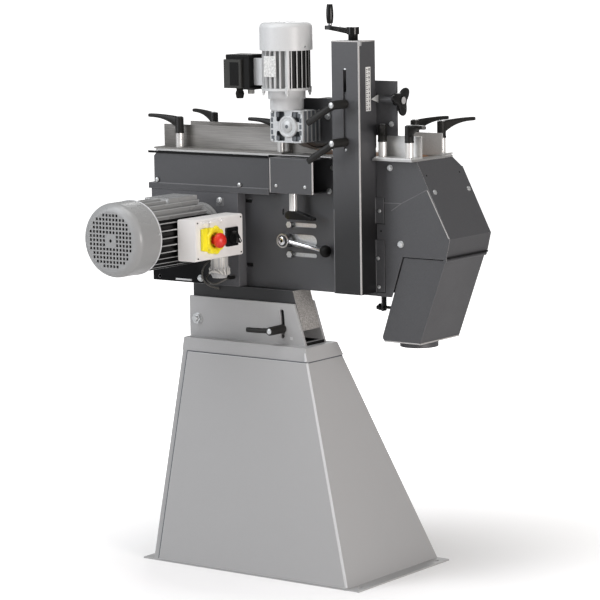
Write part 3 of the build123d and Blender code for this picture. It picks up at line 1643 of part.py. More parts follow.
# Crank on the lead screw that lifts the carriage
crank_base = column_top + column_cap + running_gap
crank_hub_bottom = crank_base + crank_collar_height
crank_hub_top = crank_hub_bottom + crank_hub_height
grip_x = crank_x - crank_reach
grip_base = crank_hub_top + crank_arm_rise
with BuildPart() as crank:
    with BuildSketch(Plane.XY.offset(slider_bottom - screw_tail)):
        with Locations((crank_x, column_middle_y)):
            Circle(screw_radius)
    extrude(amount=crank_base - slider_bottom + screw_tail)
    with BuildSketch(Plane.XY.offset(crank_base)):
        with Locations((crank_x, column_middle_y)):
            Circle(crank_collar_radius)
    extrude(amount=crank_collar_height)
    with BuildSketch(front_plane(column_middle_y)):
        with BuildLine():
            Polyline(
                (crank_x, crank_hub_bottom + running_gap),
                (crank_x, crank_hub_bottom + crank_arm_root),
                (grip_x, grip_base),
                (grip_x - crank_tip, grip_base),
                (grip_x - crank_tip, grip_base - crank_arm_thickness),
                (grip_x, grip_base - crank_arm_thickness),
                close=True,
            )
        make_face()
    extrude(amount=grip_radius, both=True)
    fillet(crank.edges().filter_by(Axis.Z).sort_by(Axis.X)[:2], crank_tip_round)
    with BuildSketch(Plane.XY.offset(crank_hub_bottom)):
        with Locations((crank_x, column_middle_y)):
            Circle(crank_hub_radius)
    extrude(amount=crank_hub_height)
    for radius, height in (
        (grip_neck_radius, grip_neck_height),
        (grip_pin_radius, grip_neck_height + grip_height - grip_cap),
    ):
        with BuildSketch(Plane.XY.offset(grip_base)):
            with Locations((grip_x, column_middle_y)):
                Circle(radius)
        extrude(amount=height)
save(crank, "crank")

# Grip of the crank, which turns on the crank's pin
grip_start = (grip_x, column_middle_y, grip_base + grip_neck_height + running_gap)
grip_plane = Plane(grip_start, x_dir=(1, 0, 0), z_dir=(0, -1, 0))
with BuildPart() as crank_grip:
    with BuildSketch(grip_plane):
        with BuildLine():
            grip_foot = Polyline(
                (grip_pin_radius + grip_fit, grip_height - grip_cap),
                (grip_pin_radius + grip_fit, 0),
                (grip_foot_radius, 0),
            )
            grip_side = ThreePointArc(
                grip_foot @ 1, (grip_radius, grip_height / 2), (grip_top_radius, grip_height)
            )
            Polyline(grip_side @ 1, (0, grip_height), (0, grip_height - grip_cap), grip_foot @ 0)
        make_face()
    revolve(axis=Axis((grip_x, column_middle_y, 0), (0, 0, 1)))
save(crank_grip, "crank_grip")

# Star knob: three lobes on a bolt in the carriage's boss
star_x = carriage_right + running_gap
star_lobes = []
for i in range(3):
    lobe_angle = radians(star_rest_angle + 120 * i)
    lobe_reach = star_knob_radius - star_lobe_radius
    lobe = Pos(lobe_reach * cos(lobe_angle), lobe_reach * sin(lobe_angle)) * Circle(star_lobe_radius)
    star_lobes += lobe.edges()
star_centre = (star_x + star_knob_hub, star_y, star_knob_z)
star_plane = Plane(star_centre, x_dir=(0, 1, 0), z_dir=(1, 0, 0))
with BuildPart() as star_knob:
    with BuildSketch(star_plane):
        make_hull(star_lobes)
    extrude(amount=star_knob_thickness)
    with BuildSketch(side_plane(star_x)):
        with Locations((star_y, star_knob_z)):
            Circle(star_knob_hub)
    extrude(amount=star_knob_hub)
    with BuildSketch(side_plane(star_x)):
        with Locations((star_y, star_knob_z)):
            Circle(star_bolt_radius)
    extrude(amount=running_gap - star_bolt_depth)
save(star_knob, "star_knob")

# Switch box with the flap's hinge rod and the square plate of the selector
flap_axis_x = switch_right + flap_knuckle_radius + running_gap
flap_axis_z = switch_top - flap_knuckle_radius - flap_hinge_drop
flap_top = flap_axis_z - flap_knuckle_radius
switch_width = switch_rear - switch_front
with BuildPart() as switch_box:
    with BuildSketch(front_plane(switch_rear)):
        with Locations(((switch_left + switch_right) / 2, (switch_bottom + switch_top) / 2)):
            RectangleRounded(switch_right - switch_left, switch_top - switch_bottom, switch_round)
    extrude(amount=switch_width)
    with BuildSketch(side_plane(switch_right)):
        with Locations((selector_y, selector_z)):
            RectangleRounded(selector_plate, selector_plate, selector_plate_round)
    extrude(amount=selector_plate_thickness)
    for end in (-1, 1):
        lug_y = flap_y + end * (flap_width - switch_lug_width) / 2
        with BuildSketch(front_plane(lug_y + switch_lug_width / 2)):
            with Locations((flap_axis_x, flap_axis_z)):
                Circle(flap_knuckle_radius)
            with Locations(((flap_axis_x + switch_right - switch_lug_root) / 2, flap_axis_z)):
                Rectangle(flap_axis_x - switch_right + switch_lug_root, 2 * flap_knuckle_radius)
        extrude(amount=switch_lug_width)
    with BuildSketch(front_plane(flap_y + flap_width / 2)):
        with Locations((flap_axis_x, flap_axis_z)):
            Circle(flap_hinge_radius)
    extrude(amount=flap_width)
save(switch_box, "switch_box")

# Yellow flap of the emergency stop: a shallow cap that lifts about its top edge
flap_back = switch_right + running_gap
flap_face = flap_back + flap_depth
flap_bottom = flap_top - flap_height
estop_z = flap_top - flap_height / 2
neck_width = flap_width - 2 * switch_lug_width - 2 * side_clearance
with BuildPart() as estop_flap:
    with BuildSketch(side_plane(flap_back)):
        with Locations((flap_y, flap_top - running_gap - flap_height / 2)):
            RectangleRounded(flap_width, flap_height, flap_round)
    extrude(amount=flap_depth)
    with BuildSketch(side_plane(flap_back)):
        with Locations((flap_y, flap_top - running_gap - flap_height / 2)):
            RectangleRounded(flap_width - 2 * flap_wall, flap_height - 2 * flap_wall, flap_round - flap_wall)
    extrude(amount=flap_depth - flap_wall, mode=Mode.SUBTRACT)
    with BuildSketch(side_plane(flap_back)):
        with Locations((flap_y, estop_z)):
            Circle(estop_stem_radius + running_gap)
    extrude(amount=flap_depth, mode=Mode.SUBTRACT)
    with BuildSketch(front_plane(flap_y + neck_width / 2)):
        with Locations((flap_axis_x, flap_axis_z)):
            Circle(flap_knuckle_radius)
        with Locations((flap_axis_x, flap_top)):
            Rectangle(flap_knuckle_radius, 2 * flap_knuckle_radius)
        with Locations((flap_axis_x, flap_axis_z)):
            Circle(flap_hinge_radius + flap_hinge_fit, mode=Mode.SUBTRACT)
    extrude(amount=neck_width)
save(estop_flap, "estop_flap")

# Red mushroom of the emergency stop, on a stem through the flap
estop_dome = estop_height / 2
dome_radius = (estop_radius**2 + estop_dome**2) / (2 * estop_dome)
dome_half_angle = atan2(estop_radius, dome_radius - estop_dome) / 2
estop_top = flap_face + estop_height
with BuildPart() as estop_button:
    with BuildSketch(Plane((0, flap_y, estop_z), x_dir=(1, 0, 0), z_dir=(0, 0, 1))):
        with BuildLine():
            stem_line = Polyline(
                (estop_top, 0),
                (flap_back + estop_travel + side_clearance, 0),
                (flap_back + estop_travel + side_clearance, estop_stem_radius),
                (flap_face + estop_travel + side_clearance, estop_stem_radius),
                (flap_face + estop_travel + side_clearance, estop_radius),
                (estop_top - estop_dome, estop_radius),
            )
            ThreePointArc(
                stem_line @ 1,
                (
                    estop_top - dome_radius + dome_radius * cos(dome_half_angle),
                    dome_radius * sin(dome_half_angle),
                ),
                stem_line @ 0,
            )
        make_face()
    revolve(axis=Axis((0, flap_y, estop_z), (1, 0, 0)))
save(estop_button, "estop_button")

# Selector: a round knob with a grip bar, on the square plate
selector_base = switch_right + selector_plate_thickness + running_gap
with BuildPart() as selector_knob:
    with BuildSketch(side_plane(selector_base)):
        with Locations((selector_y, selector_z)):
            Circle(selector_radius)
    extrude(amount=selector_disc)
    with BuildSketch(side_plane(selector_base)):
        with Locations((selector_y, selector_z)):
            RectangleRounded(
                selector_bar_width, selector_bar_length, selector_bar_round, rotation=selector_rest_angle
            )
    extrude(amount=selector_height)
save(selector_knob, "selector_knob")

# Plug inlet under the switch box, and the short lead from the box to the motor tray
with BuildPart() as plug_inlet:
    with BuildSketch(Plane.XY.offset(switch_bottom)):
        with Locations((inlet_x, inlet_y)):
            Circle(inlet_radius)
    extrude(amount=inlet_taper - inlet_length)
    for radius, drop in ((inlet_radius, inlet_length - inlet_taper), (inlet_mouth_radius, inlet_length)):
        with BuildSketch(Plane.XY.offset(switch_bottom - drop)):
            with Locations((inlet_x, inlet_y)):
                Circle(radius)
    loft()
    with BuildSketch(Plane.XY.offset(switch_bottom - inlet_rib_drop)):
        with Locations((inlet_x, inlet_y)):
            with PolarLocations(inlet_radius, inlet_rib_count):
                Rectangle(2 * inlet_rib_height, inlet_rib_width)
    extrude(amount=-inlet_rib_length)
    with BuildSketch(Plane.XY.offset(switch_bottom - inlet_length)):
        with Locations((inlet_x, inlet_y)):
            Circle(inlet_bore)
    extrude(amount=inlet_bore_depth, mode=Mode.SUBTRACT)
    lead_y = inlet_y + lead_offset
    with BuildLine():
        lead_path = FilletPolyline(
            (lead_x, lead_y, switch_bottom),
            (lead_x, lead_y, switch_bottom - lead_drop),
            (lead_x, tray_front, switch_bottom - lead_drop),
            radius=lead_bend,
        )
    with BuildSketch(Plane(origin=(lead_x, lead_y, switch_bottom), z_dir=(0, 0, -1))):
        Circle(lead_radius)
    sweep(path=lead_path)
save(plug_inlet, "plug_inlet")

# Dust chute: a slanted hopper that hangs on the cover's pin and ends in a round port
chute_front = main_plate_front + chute_side_gap
chute_rear = casing_rear - sheet - chute_side_gap
chute_outer = [
    (chute_top_left, chute_top),
    (chute_bottom_left, chute_bottom),
    (chute_bottom_right, chute_bottom),
    (chute_top_right, chute_top),
]
chute_round_reach = chute_round * (hypot(1, chute_lean) + chute_lean)
port_x = chute_bottom_left + chute_round_reach + port_margin + port_radius
with BuildPart() as dust_chute:
    with BuildSketch(front_plane(chute_rear)) as chute_section:
        with BuildLine():
            Polyline(*chute_outer, close=True)
        make_face()
        fillet(chute_section.vertices().sort_by(Axis.X)[0], chute_round)
    extrude(amount=chute_rear - chute_front)
    with BuildSketch(front_plane(chute_rear)):
        with Locations((chute_pin_x, chute_top)):
            Circle(chute_knuckle)
    extrude(amount=chute_rear - chute_front)
    with BuildSketch(front_plane(chute_rear - sheet)) as chute_hollow:
        with BuildLine():
            Polyline(
                (chute_top_left + sheet, chute_top + chute_ear),
                (chute_top_left + sheet, chute_top),
                (chute_bottom_left + sheet + chute_lean * sheet, chute_bottom + sheet),
                (chute_bottom_right - sheet + chute_lean * sheet, chute_bottom + sheet),
                (chute_top_right - 2 * sheet, chute_top),
                (chute_top_right - 2 * sheet, chute_top + chute_ear),
                close=True,
            )
        make_face()
        fillet(chute_hollow.vertices().sort_by(Axis.X)[0], chute_round - sheet)
    extrude(amount=chute_rear - chute_front - 2 * sheet, mode=Mode.SUBTRACT)
    with BuildSketch(front_plane(chute_rear)):
        with Locations((chute_pin_x, chute_top)):
            Circle(chute_pin_radius + chute_pin_fit)
    extrude(amount=chute_rear - chute_front, mode=Mode.SUBTRACT)
    with BuildSketch(Plane.XY.offset(chute_bottom - port_length)):
        with Locations((port_x, belt_centre_y)):
            Circle(port_radius)
    extrude(amount=port_length + sheet)
    with BuildSketch(Plane.XY.offset(chute_bottom - port_length)):
        with Locations((port_x, belt_centre_y)):
            Circle(port_radius - port_wall)
    extrude(amount=port_length + sheet, mode=Mode.SUBTRACT)
save(dust_chute, "dust_chute")

# Wing knob whose screw holds the chute shut
knob_face = head_right - sheet - running_gap
screw_tip = (
    chute_bottom_left + chute_lean * (chute_knob_z - chute_screw_radius - chute_bottom) - 2 * running_gap
)
with BuildPart() as chute_knob:
    with BuildSketch(side_plane(knob_face)):
        with Locations((chute_knob_y, chute_knob_z)):
            Circle(chute_screw_radius)
    extrude(amount=screw_tip - knob_face)
    with BuildSketch(side_plane(knob_face)):
        with Locations((chute_knob_y, chute_knob_z)):
            Circle(chute_knob_hub)
            with PolarLocations(chute_wing_reach, 2):
                Circle(chute_wing_radius)
    extrude(amount=-chute_knob_thickness)
save(chute_knob, "chute_knob")
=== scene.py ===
# %% [markdown]
# # A long stroke belt sander
# A floor machine for grinding long pieces. A tapered sheet-metal pedestal carries a dark
# head, and the head carries a motor, an abrasive belt that runs under a fenced table, and a
# feed wheel on a column. The solids come in as a fixed frame. This lesson gives them their
# folded edges, their paint and metal, and the small pieces that solids leave out.

# %% Load the machine
import json
from math import cos, hypot, pi, radians, sin

import bmesh
import bpy
from mathutils import Matrix, Vector

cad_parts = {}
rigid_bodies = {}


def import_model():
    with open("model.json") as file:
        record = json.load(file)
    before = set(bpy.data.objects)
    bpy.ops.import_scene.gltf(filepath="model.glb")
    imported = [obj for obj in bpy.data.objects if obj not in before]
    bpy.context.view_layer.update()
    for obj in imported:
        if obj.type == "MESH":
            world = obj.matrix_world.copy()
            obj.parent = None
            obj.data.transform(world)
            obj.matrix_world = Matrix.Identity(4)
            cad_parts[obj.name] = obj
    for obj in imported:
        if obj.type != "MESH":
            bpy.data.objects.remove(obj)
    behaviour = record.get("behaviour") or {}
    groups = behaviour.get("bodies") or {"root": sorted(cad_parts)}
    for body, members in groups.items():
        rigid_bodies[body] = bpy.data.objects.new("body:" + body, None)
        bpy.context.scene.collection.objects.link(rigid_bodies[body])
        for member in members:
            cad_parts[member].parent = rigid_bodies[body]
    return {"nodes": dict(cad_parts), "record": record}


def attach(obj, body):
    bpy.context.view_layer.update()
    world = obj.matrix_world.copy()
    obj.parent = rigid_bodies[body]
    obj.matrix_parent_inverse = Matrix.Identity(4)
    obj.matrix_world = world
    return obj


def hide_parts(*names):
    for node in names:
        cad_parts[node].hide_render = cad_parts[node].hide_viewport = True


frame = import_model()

scene = bpy.context.scene
solids = frame["nodes"]
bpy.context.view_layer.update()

# %% [markdown]
# ## Where the photographer stood
# A camera can be placed by eye and nudged, or worked out from corners whose places are known.
# Here the pedestal's corners and the head's edges gave a long lens, far away, off to the right
# and a little above the motor. The roll, just under a degree, is how far it was held askew.

# %% Camera


def show(name, data):
    """A new object in the scene, at the origin."""
    made = bpy.data.objects.new(name, data)
    scene.collection.objects.link(made)
    return made


def look(azimuth, elevation, roll):
    """Turn of a camera that looks at the origin from an azimuth and elevation in degrees."""
    a, e, r = radians(azimuth), radians(elevation), radians(roll)
    back = Vector((sin(a) * cos(e), -cos(a) * cos(e), sin(e)))
    right = Vector((cos(a), sin(a), 0))
    up = back.cross(right)
    tilted_right = right * cos(r) + up * sin(r)
    tilted_up = up * cos(r) - right * sin(r)
    return Matrix((tilted_right, tilted_up, back)).transposed().to_4x4()


photo_view = show("photo_view", bpy.data.cameras.new("photo_view"))
photo_view.data.lens = 164.3
photo_view.data.sensor_width = 36
photo_view.data.clip_end = 1000
turn = look(azimuth=36.43, elevation=7.97, roll=-0.879)
photo_view.matrix_world = Matrix.Translation((4.3769, -5.8917, 1.745)) @ turn
scene.camera = photo_view
print("camera", [round(v, 2) for v in photo_view.location])

# %% [markdown]
# ## Studio floor and light
# The machine stands on white paper. A bright lamp could burn the paper out, but it would wash
# out the machine too. So the paper adds a little light of its own, only for rays that come from
# the camera, straight or through something clear, and more of it further away. Close to the
# pedestal the soft shadow stays, and polished metal mirrors the paper as it is really lit.

# %% Node helpers


def feed(tree, socket, value):
    """Sets a socket to a value, or links it from (node, output)."""
    if isinstance(value, tuple) and isinstance(value[0], bpy.types.Node):
        tree.links.new(value[0].outputs[value[1]], socket)
    else:
        socket.default_value = value


def add(tree, kind, *values, **named):
    """A new node. The values go to its first sockets, in order. A name with a capital is a
    socket too, with underscores for spaces, and any other name is a setting of the node."""
    made = tree.nodes.new(kind)
    for key, value in named.items():
        if key[0].islower():
            setattr(made, key, value)
    for socket, value in zip(made.inputs, values):
        feed(tree, socket, value)
    for key, value in named.items():
        if key[0].isupper():
            feed(tree, made.inputs[key.replace("_", " ")], value)
    return made


# %% Floor


def paper_material():
    material = bpy.data.materials.new("studio_paper")
    material.use_nodes = True
    tree = material.node_tree
    tree.nodes.clear()
    place = add(tree, "ShaderNodeTexCoord")
    distance = add(tree, "ShaderNodeVectorMath", (place, "Object"), operation="LENGTH")
    glow = add(
        tree, "ShaderNodeMapRange", (distance, "Value"), From_Min=0.40, From_Max=1.9, To_Min=0.16, To_Max=1.0
    )
    path = add(tree, "ShaderNodeLightPath")
    rays = (path, "Is Camera Ray"), (path, "Is Transmission Ray")
    seen = add(tree, "ShaderNodeMath", *rays, operation="MAXIMUM")
    strength = add(tree, "ShaderNodeMath", (glow, "Result"), (seen, 0), operation="MULTIPLY")
    white = add(tree, "ShaderNodeBsdfDiffuse", Color=(0.80, 0.79, 0.785, 1))
    shine = add(tree, "ShaderNodeEmission", Color=(1, 1, 1, 1), Strength=(strength, 0))
    both = add(tree, "ShaderNodeAddShader", (white, 0), (shine, 0))
    add(tree, "ShaderNodeOutputMaterial", Surface=(both, 0))
    return material


paper = bmesh.new()
bmesh.ops.create_circle(paper, cap_ends=True, segments=64, radius=160)
floor_mesh = bpy.data.meshes.new("studio_floor")
paper.to_mesh(floor_mesh)
paper.free()
floor_mesh.materials.append(paper_material())
floor = show("studio_floor", floor_mesh)
print("floor:", floor.name)

# %% Lamps
scene.view_settings.view_transform = "Standard"
scene.world = bpy.data.worlds.new("studio")
scene.world.use_nodes = True
sky = scene.world.node_tree.nodes["Background"]
sky.inputs["Color"].default_value = (1, 1, 1, 1)
sky.inputs["Strength"].default_value = 0.32


def soft_box(name, place, aim, size, power, colour):
    """A square lamp at a place in metres that looks at the aim; power is in watts."""
    lamp = bpy.data.lights.new(name, "AREA")
    lamp.shape = "RECTANGLE"
    lamp.size = lamp.size_y = size
    lamp.energy = power
    lamp.color = colour
    holder = show(name, lamp)
    holder.location = place
    holder.rotation_euler = (Vector(aim) - Vector(place)).to_track_quat("-Z", "Y").to_euler()


cool, warm, neutral = (0.925, 0.95, 1.0), (1.0, 0.95, 0.93), (1.0, 1.0, 1.0)
soft_box("left_high_lamp", (-1.7, -3.0, 3.8), (0, 0, 0.9), 2.0, 62, cool)
soft_box("left_front_lamp", (-2.4, -4.0, 2.1), (0, 0, 1.0), 2.2, 56, cool)
soft_box("right_lamp", (4.3, -1.4, 1.3), (0.1, 0, 0.8), 1.8, 110, warm)
soft_box("back_lamp", (-1.6, 3.6, 2.3), (0, 0, 1.0), 2.2, 36, neutral)
soft_box("top_lamp", (-0.2, -1.2, 4.1), (0, -0.2, 1.0), 2.2, 50, neutral)

# %% [markdown]
# ## Shared surface effects
# Powder coat, plated steel, cast aluminium and moulded plastic all have a grain that is too
# fine to model. Each effect is built once as a node group with named inputs, so a finish only
# chooses sizes and strengths. The groups put out plain numbers. The shader itself stays in
# each material.

# %% Effect groups


def effect(name, inputs, *outputs):
    """An empty node group with a Vector input, further inputs by name, and float outputs."""
    group = bpy.data.node_groups.new(name, "ShaderNodeTree")
    for label, value in {"Vector": (0, 0, 0), **inputs}.items():
        kind = "NodeSocketVector" if isinstance(value, tuple) else "NodeSocketFloat"
        group.interface.new_socket(label, in_out="INPUT", socket_type=kind).default_value = value
    for label in outputs:
        group.interface.new_socket(label, in_out="OUTPUT", socket_type="NodeSocketFloat")
    return group, add(group, "NodeGroupInput")


def make_speckle():
    group, given = effect("coat_speckle", {"Grain per metre": 900.0, "Spread": 0.5}, "Light", "Height")
    grain = add(group, "ShaderNodeTexNoise", (given, "Vector"), Detail=2.0, Roughness=0.6)
    feed(group, grain.inputs["Scale"], (given, "Grain per metre"))
    half = add(group, "ShaderNodeMath", (given, "Spread"), 0.35, operation="MULTIPLY")
    low = add(group, "ShaderNodeMath", 0.5, (half, 0), operation="SUBTRACT")
    high = add(group, "ShaderNodeMath", 0.5, (half, 0), operation="ADD")
    stretch = add(group, "ShaderNodeMapRange", (grain, "Fac"), (low, 0), (high, 0))
    add(group, "NodeGroupOutput", Light=(stretch, "Result"), Height=(grain, "Fac"))
    return group


def make_lines():
    sizes = {"Along X": 3.0, "Along Y": 160.0, "Along Z": 160.0}
    group, given = effect("drawn_lines", sizes, "Light", "Height")
    grid = add(group, "ShaderNodeCombineXYZ", *((given, label) for label in sizes))
    scale = add(group, "ShaderNodeVectorMath", (given, "Vector"), (grid, 0), operation="MULTIPLY")
    grain = add(group, "ShaderNodeTexNoise", (scale, 0), Scale=4.0, Detail=4.0, Roughness=0.7)
    stretch = add(group, "ShaderNodeMapRange", (grain, "Fac"), From_Min=0.3, From_Max=0.7)
    add(group, "NodeGroupOutput", Light=(stretch, "Result"), Height=(grain, "Fac"))
    return group


def make_clouds():
    group, given = effect("handling_clouds", {"Clouds per metre": 6.0}, "Mask")
    cloud = add(group, "ShaderNodeTexNoise", (given, "Vector"), Detail=5.0, Roughness=0.62)
    feed(group, cloud.inputs["Scale"], (given, "Clouds per metre"))
    stretch = add(group, "ShaderNodeMapRange", (cloud, "Fac"), From_Min=0.32, From_Max=0.70)
    add(group, "NodeGroupOutput", Mask=(stretch, "Result"))
    return group


coat_speckle = make_speckle()
drawn_lines = make_lines()
handling_clouds = make_clouds()
print("effects:", [g.name for g in bpy.data.node_groups])

# %% [markdown]
# ## Finishes
# A finish mixes a dark and a light tone by a fine pattern, then lets wide soft clouds change
# the roughness a little, as hands and dust do. The same fine pattern drives a small bump, so
# that a highlight breaks up the way it does on real powder coat or brushed metal.

# %% Finish builder


def shade(colour, factor):
    """A colour made lighter or darker, with full alpha."""
    return (*[min(1.0, c * factor) for c in colour], 1.0)


def blend(tree, factor, dark, light):
    """A node that mixes two colours; of its many sockets these three are the ones for colours."""
    made = add(tree, "ShaderNodeMix", factor, data_type="RGBA")
    feed(tree, made.inputs[6], dark)
    feed(tree, made.inputs[7], light)
    return made


def finish(name, colour, pattern, sizes, contrast, rough, bump, metal=0.0, gleam=0.5):
    """A material whose tone, roughness and bump follow one of the shared effects.

    contrast is how far the dark and light tones stand from the colour, rough is the lowest and
    highest roughness, metal how metallic it is, and gleam how much it mirrors if it is no metal.
    """
    material = bpy.data.materials.new(name)
    material.use_nodes = True
    tree = material.node_tree
    place = (add(tree, "ShaderNodeTexCoord"), "Object")
    fine = add(tree, "ShaderNodeGroup", node_tree=pattern, Vector=place, **sizes)
    wide = add(tree, "ShaderNodeGroup", node_tree=handling_clouds, Vector=place, Clouds_per_metre=5.0)
    tone = blend(tree, (fine, "Light"), shade(colour, 1 - contrast), shade(colour, 1 + contrast))
    worn = add(tree, "ShaderNodeMapRange", (wide, "Mask"), To_Min=rough[0], To_Max=rough[1])
    relief = add(tree, "ShaderNodeBump", Strength=bump, Distance=0.0004, Height=(fine, "Height"))
    for socket, value in (
        ("Base Color", (tone, 2)), ("Roughness", (worn, "Result")), ("Normal", (relief, "Normal")),
        ("Metallic", metal), ("Specular IOR Level", gleam),
    ):
        feed(tree, tree.nodes["Principled BSDF"].inputs[socket], value)
    material.diffuse_color = shade(colour, 1)
    return material


# %% Four families of finish
fine_grain = {"Grain per metre": 1100.0, "Spread": 0.7}
moulded_grain = {"Grain per metre": 700.0, "Spread": 0.8}


def paint(name, colour, *surface, **sheen):
    """A coat with a fine, even grain; surface is the contrast, roughness and bump."""
    return finish(name, colour, coat_speckle, fine_grain, *surface, **sheen)


def moulding(name, colour, *surface, **sheen):
    """Plastic or rubber out of a mould."""
    return finish(name, colour, coat_speckle, moulded_grain, *surface, **sheen)


def grainy(name, colour, grain, spread, *surface, **sheen):
    """A grain of its own: castings, abrasive and a printed plate."""
    sizes = {"Grain per metre": grain, "Spread": spread}
    return finish(name, colour, coat_speckle, sizes, *surface, **sheen)


def lined(name, colour, along, *surface, **sheen):
    """Metal with fine lines; along says how close they lie in x, y and z."""
    sizes = dict(zip(("Along X", "Along Y", "Along Z"), along))
    return finish(name, colour, drawn_lines, sizes, *surface, **sheen)


# %% Paint and castings
light_paint = paint("light_grey_coat", (0.375, 0.374, 0.374), 0.07, (0.40, 0.52), 0.10)
# The edge finishes are paler than their coats, for painted highlights along edges and folds.
light_edge = paint("light_grey_edge", (0.56, 0.56, 0.56), 0.10, (0.34, 0.46), 0.06)
folded_edge = paint("folded_edge", (0.56, 0.565, 0.575), 0.06, (0.34, 0.46), 0.06)
dark_paint = paint("anthracite_coat", (0.058, 0.0585, 0.062), 0.35, (0.36, 0.48), 0.22)
# A lighter copy of the anthracite coat for the motor tray: painted light.
tray_lightened = paint("tray_lightened_coat", (0.10, 0.1005, 0.106), 0.35, (0.36, 0.48), 0.22)
# A paler anthracite and a light grey paint highlights on the dark sheet's edges and folds.
dark_edge = paint("anthracite_edge", (0.13, 0.13, 0.135), 0.35, (0.30, 0.45), 0.15)
edge_highlight = paint("painted_edge_highlight", (0.42, 0.41, 0.40), 0.25, (0.30, 0.45), 0.15)
black_paint = paint("black_coat", (0.016, 0.016, 0.017), 0.25, (0.28, 0.42), 0.12)
motor_paint = paint("silver_grey_paint", (0.30, 0.302, 0.300), 0.08, (0.24, 0.34), 0.06)
feed_paint = paint("pale_silver_paint", (0.57, 0.575, 0.575), 0.08, (0.30, 0.42), 0.08)
# Near black and dark grey: painted shade between the motors' fins.
fin_shade = paint("painted_fin_shade", (0.010, 0.010, 0.010), 0.12, (0.5, 0.6), 0.08, gleam=0.15)
feed_fin_shade = paint("painted_feed_fin_shade", (0.15, 0.152, 0.152), 0.10, (0.5, 0.6), 0.08)
# A light speckled coat: painted sheen on the tilt carrier's slanted end.
carrier_end_sheen = grainy("painted_sheen_casting", (0.295, 0.283, 0.270), 300.0, 0.9, 0.62, (0.5, 0.7), 0.6)
pocket_cast = grainy("shadowed_casting", (0.10, 0.11, 0.12), 500.0, 0.8, 0.3, (0.5, 0.7), 0.3)
cast_metal = grainy("cast_aluminium", (0.50, 0.51, 0.51), 500.0, 0.8, 0.16, (0.34, 0.5), 0.3, metal=0.45)

# %% Metals
zinc = lined("zinc_plate", (0.60, 0.61, 0.61), (60, 60, 60), 0.12, (0.28, 0.42), 0.05, metal=0.85)
table_metal = lined("ground_steel", (0.46, 0.455, 0.445), (3, 220, 220), 0.16, (0.34, 0.5), 0.08, metal=0.8)
fence_metal = lined(
    "brushed_fence", (0.215, 0.207, 0.195), (2.5, 140, 140), 0.22, (0.34, 0.44), 0.08,
    metal=0.55, gleam=0.3,
)
outfeed_metal = lined("milled_fence", (0.6, 0.6, 0.59), (120, 120, 120), 0.1, (0.34, 0.48), 0.08, metal=0.5)
turned_metal = lined("turned_steel", (0.45, 0.45, 0.46), (90, 12, 90), 0.12, (0.22, 0.36), 0.06, metal=1.0)
wheel_metal = lined("turned_aluminium", (0.6, 0.61, 0.62), (90, 12, 90), 0.1, (0.25, 0.4), 0.06, metal=1.0)
chrome = paint("chrome", (0.62, 0.62, 0.63), 0.04, (0.10, 0.18), 0.02, metal=1.0)
sleeve_metal = lined("drawn_tube", (0.76, 0.75, 0.73), (60, 60, 1), 0.30, (0.16, 0.26), 0.06, metal=0.35)

# %% Plastic, rubber, cloth and foil
black_plastic = moulding("black_plastic", (0.009, 0.009, 0.0085), 0.25, (0.40, 0.52), 0.14, gleam=0.12)
gloss_plastic = moulding("gloss_black", (0.008, 0.008, 0.008), 0.20, (0.14, 0.22), 0.04, gleam=0.28)
lead_skin = moulding("lead_skin", (0.075, 0.072, 0.064), 0.20, (0.24, 0.34), 0.04, gleam=0.4)
lid_plastic = moulding("lid_plastic", (0.036, 0.036, 0.033), 0.25, (0.40, 0.52), 0.14, gleam=0.2)
lever_plastic = moulding("lever_plastic", (0.013, 0.0125, 0.0115), 0.30, (0.32, 0.44), 0.16, gleam=0.26)
box_plastic = moulding("off_white_plastic", (0.80, 0.775, 0.755), 0.03, (0.36, 0.46), 0.06)
inlet_plastic = moulding("pale_grey_plastic", (0.56, 0.55, 0.52), 0.05, (0.38, 0.50), 0.06)
mid_plastic = moulding("mid_grey_plastic", (0.36, 0.36, 0.36), 0.08, (0.38, 0.50), 0.06)
yellow_plastic = moulding("yellow_plastic", (0.93, 0.80, 0.028), 0.05, (0.26, 0.38), 0.04)
red_plastic = moulding("red_plastic", (0.66, 0.025, 0.015), 0.06, (0.26, 0.38), 0.04)
rubber = moulding("tyre_rubber", (0.025, 0.025, 0.025), 0.35, (0.62, 0.78), 0.30)
abrasive = grainy("abrasive_cloth", (0.27, 0.15, 0.085), 1600.0, 0.9, 0.55, (0.80, 0.92), 0.60)
foil = lined("scale_foil", (0.78, 0.78, 0.76), (80, 4, 80), 0.04, (0.34, 0.44), 0.03, metal=0.2)
plate_foil = grainy("plate_foil", (0.60, 0.60, 0.585), 220.0, 0.8, 0.34, (0.34, 0.44), 0.03)
# Black for print and marks, and for painted shade in gaps and between the bracket's cheeks.
ink_and_shade = moulding("black_ink_and_shade", (0.008, 0.008, 0.008), 0.2, (0.45, 0.55), 0.05, gleam=0.1)
print("finishes:", len(bpy.data.materials))

# %% [markdown]
# ## Painted shade
# Little light comes under the motor and to the foot of the column. The group gives a soft round
# mask about a point, and a copy of the paint is darkened by it: painted shade under the motor
# and at the column's foot, and a darker patch along the tilt carrier. A painted picture could do
# this too, but it would need unwrapping.

# %% Painted shade


def grime_group():
    group, given = effect("painted_shade_patch", {"Centre": (0, 0, 0), "Reach": 0.1}, "Mask")
    away = add(group, "ShaderNodeVectorMath", (given, "Vector"), (given, "Centre"), operation="DISTANCE")
    share = add(group, "ShaderNodeMath", (away, "Value"), (given, "Reach"), operation="DIVIDE")
    fade = add(group, "ShaderNodeMapRange", (share, 0), From_Min=0.35, To_Min=1.0, To_Max=0.0)
    fade.interpolation_type = "SMOOTHSTEP"
    add(group, "NodeGroupOutput", Mask=(fade, "Result"))
    return group


painted_shade_patch = grime_group()


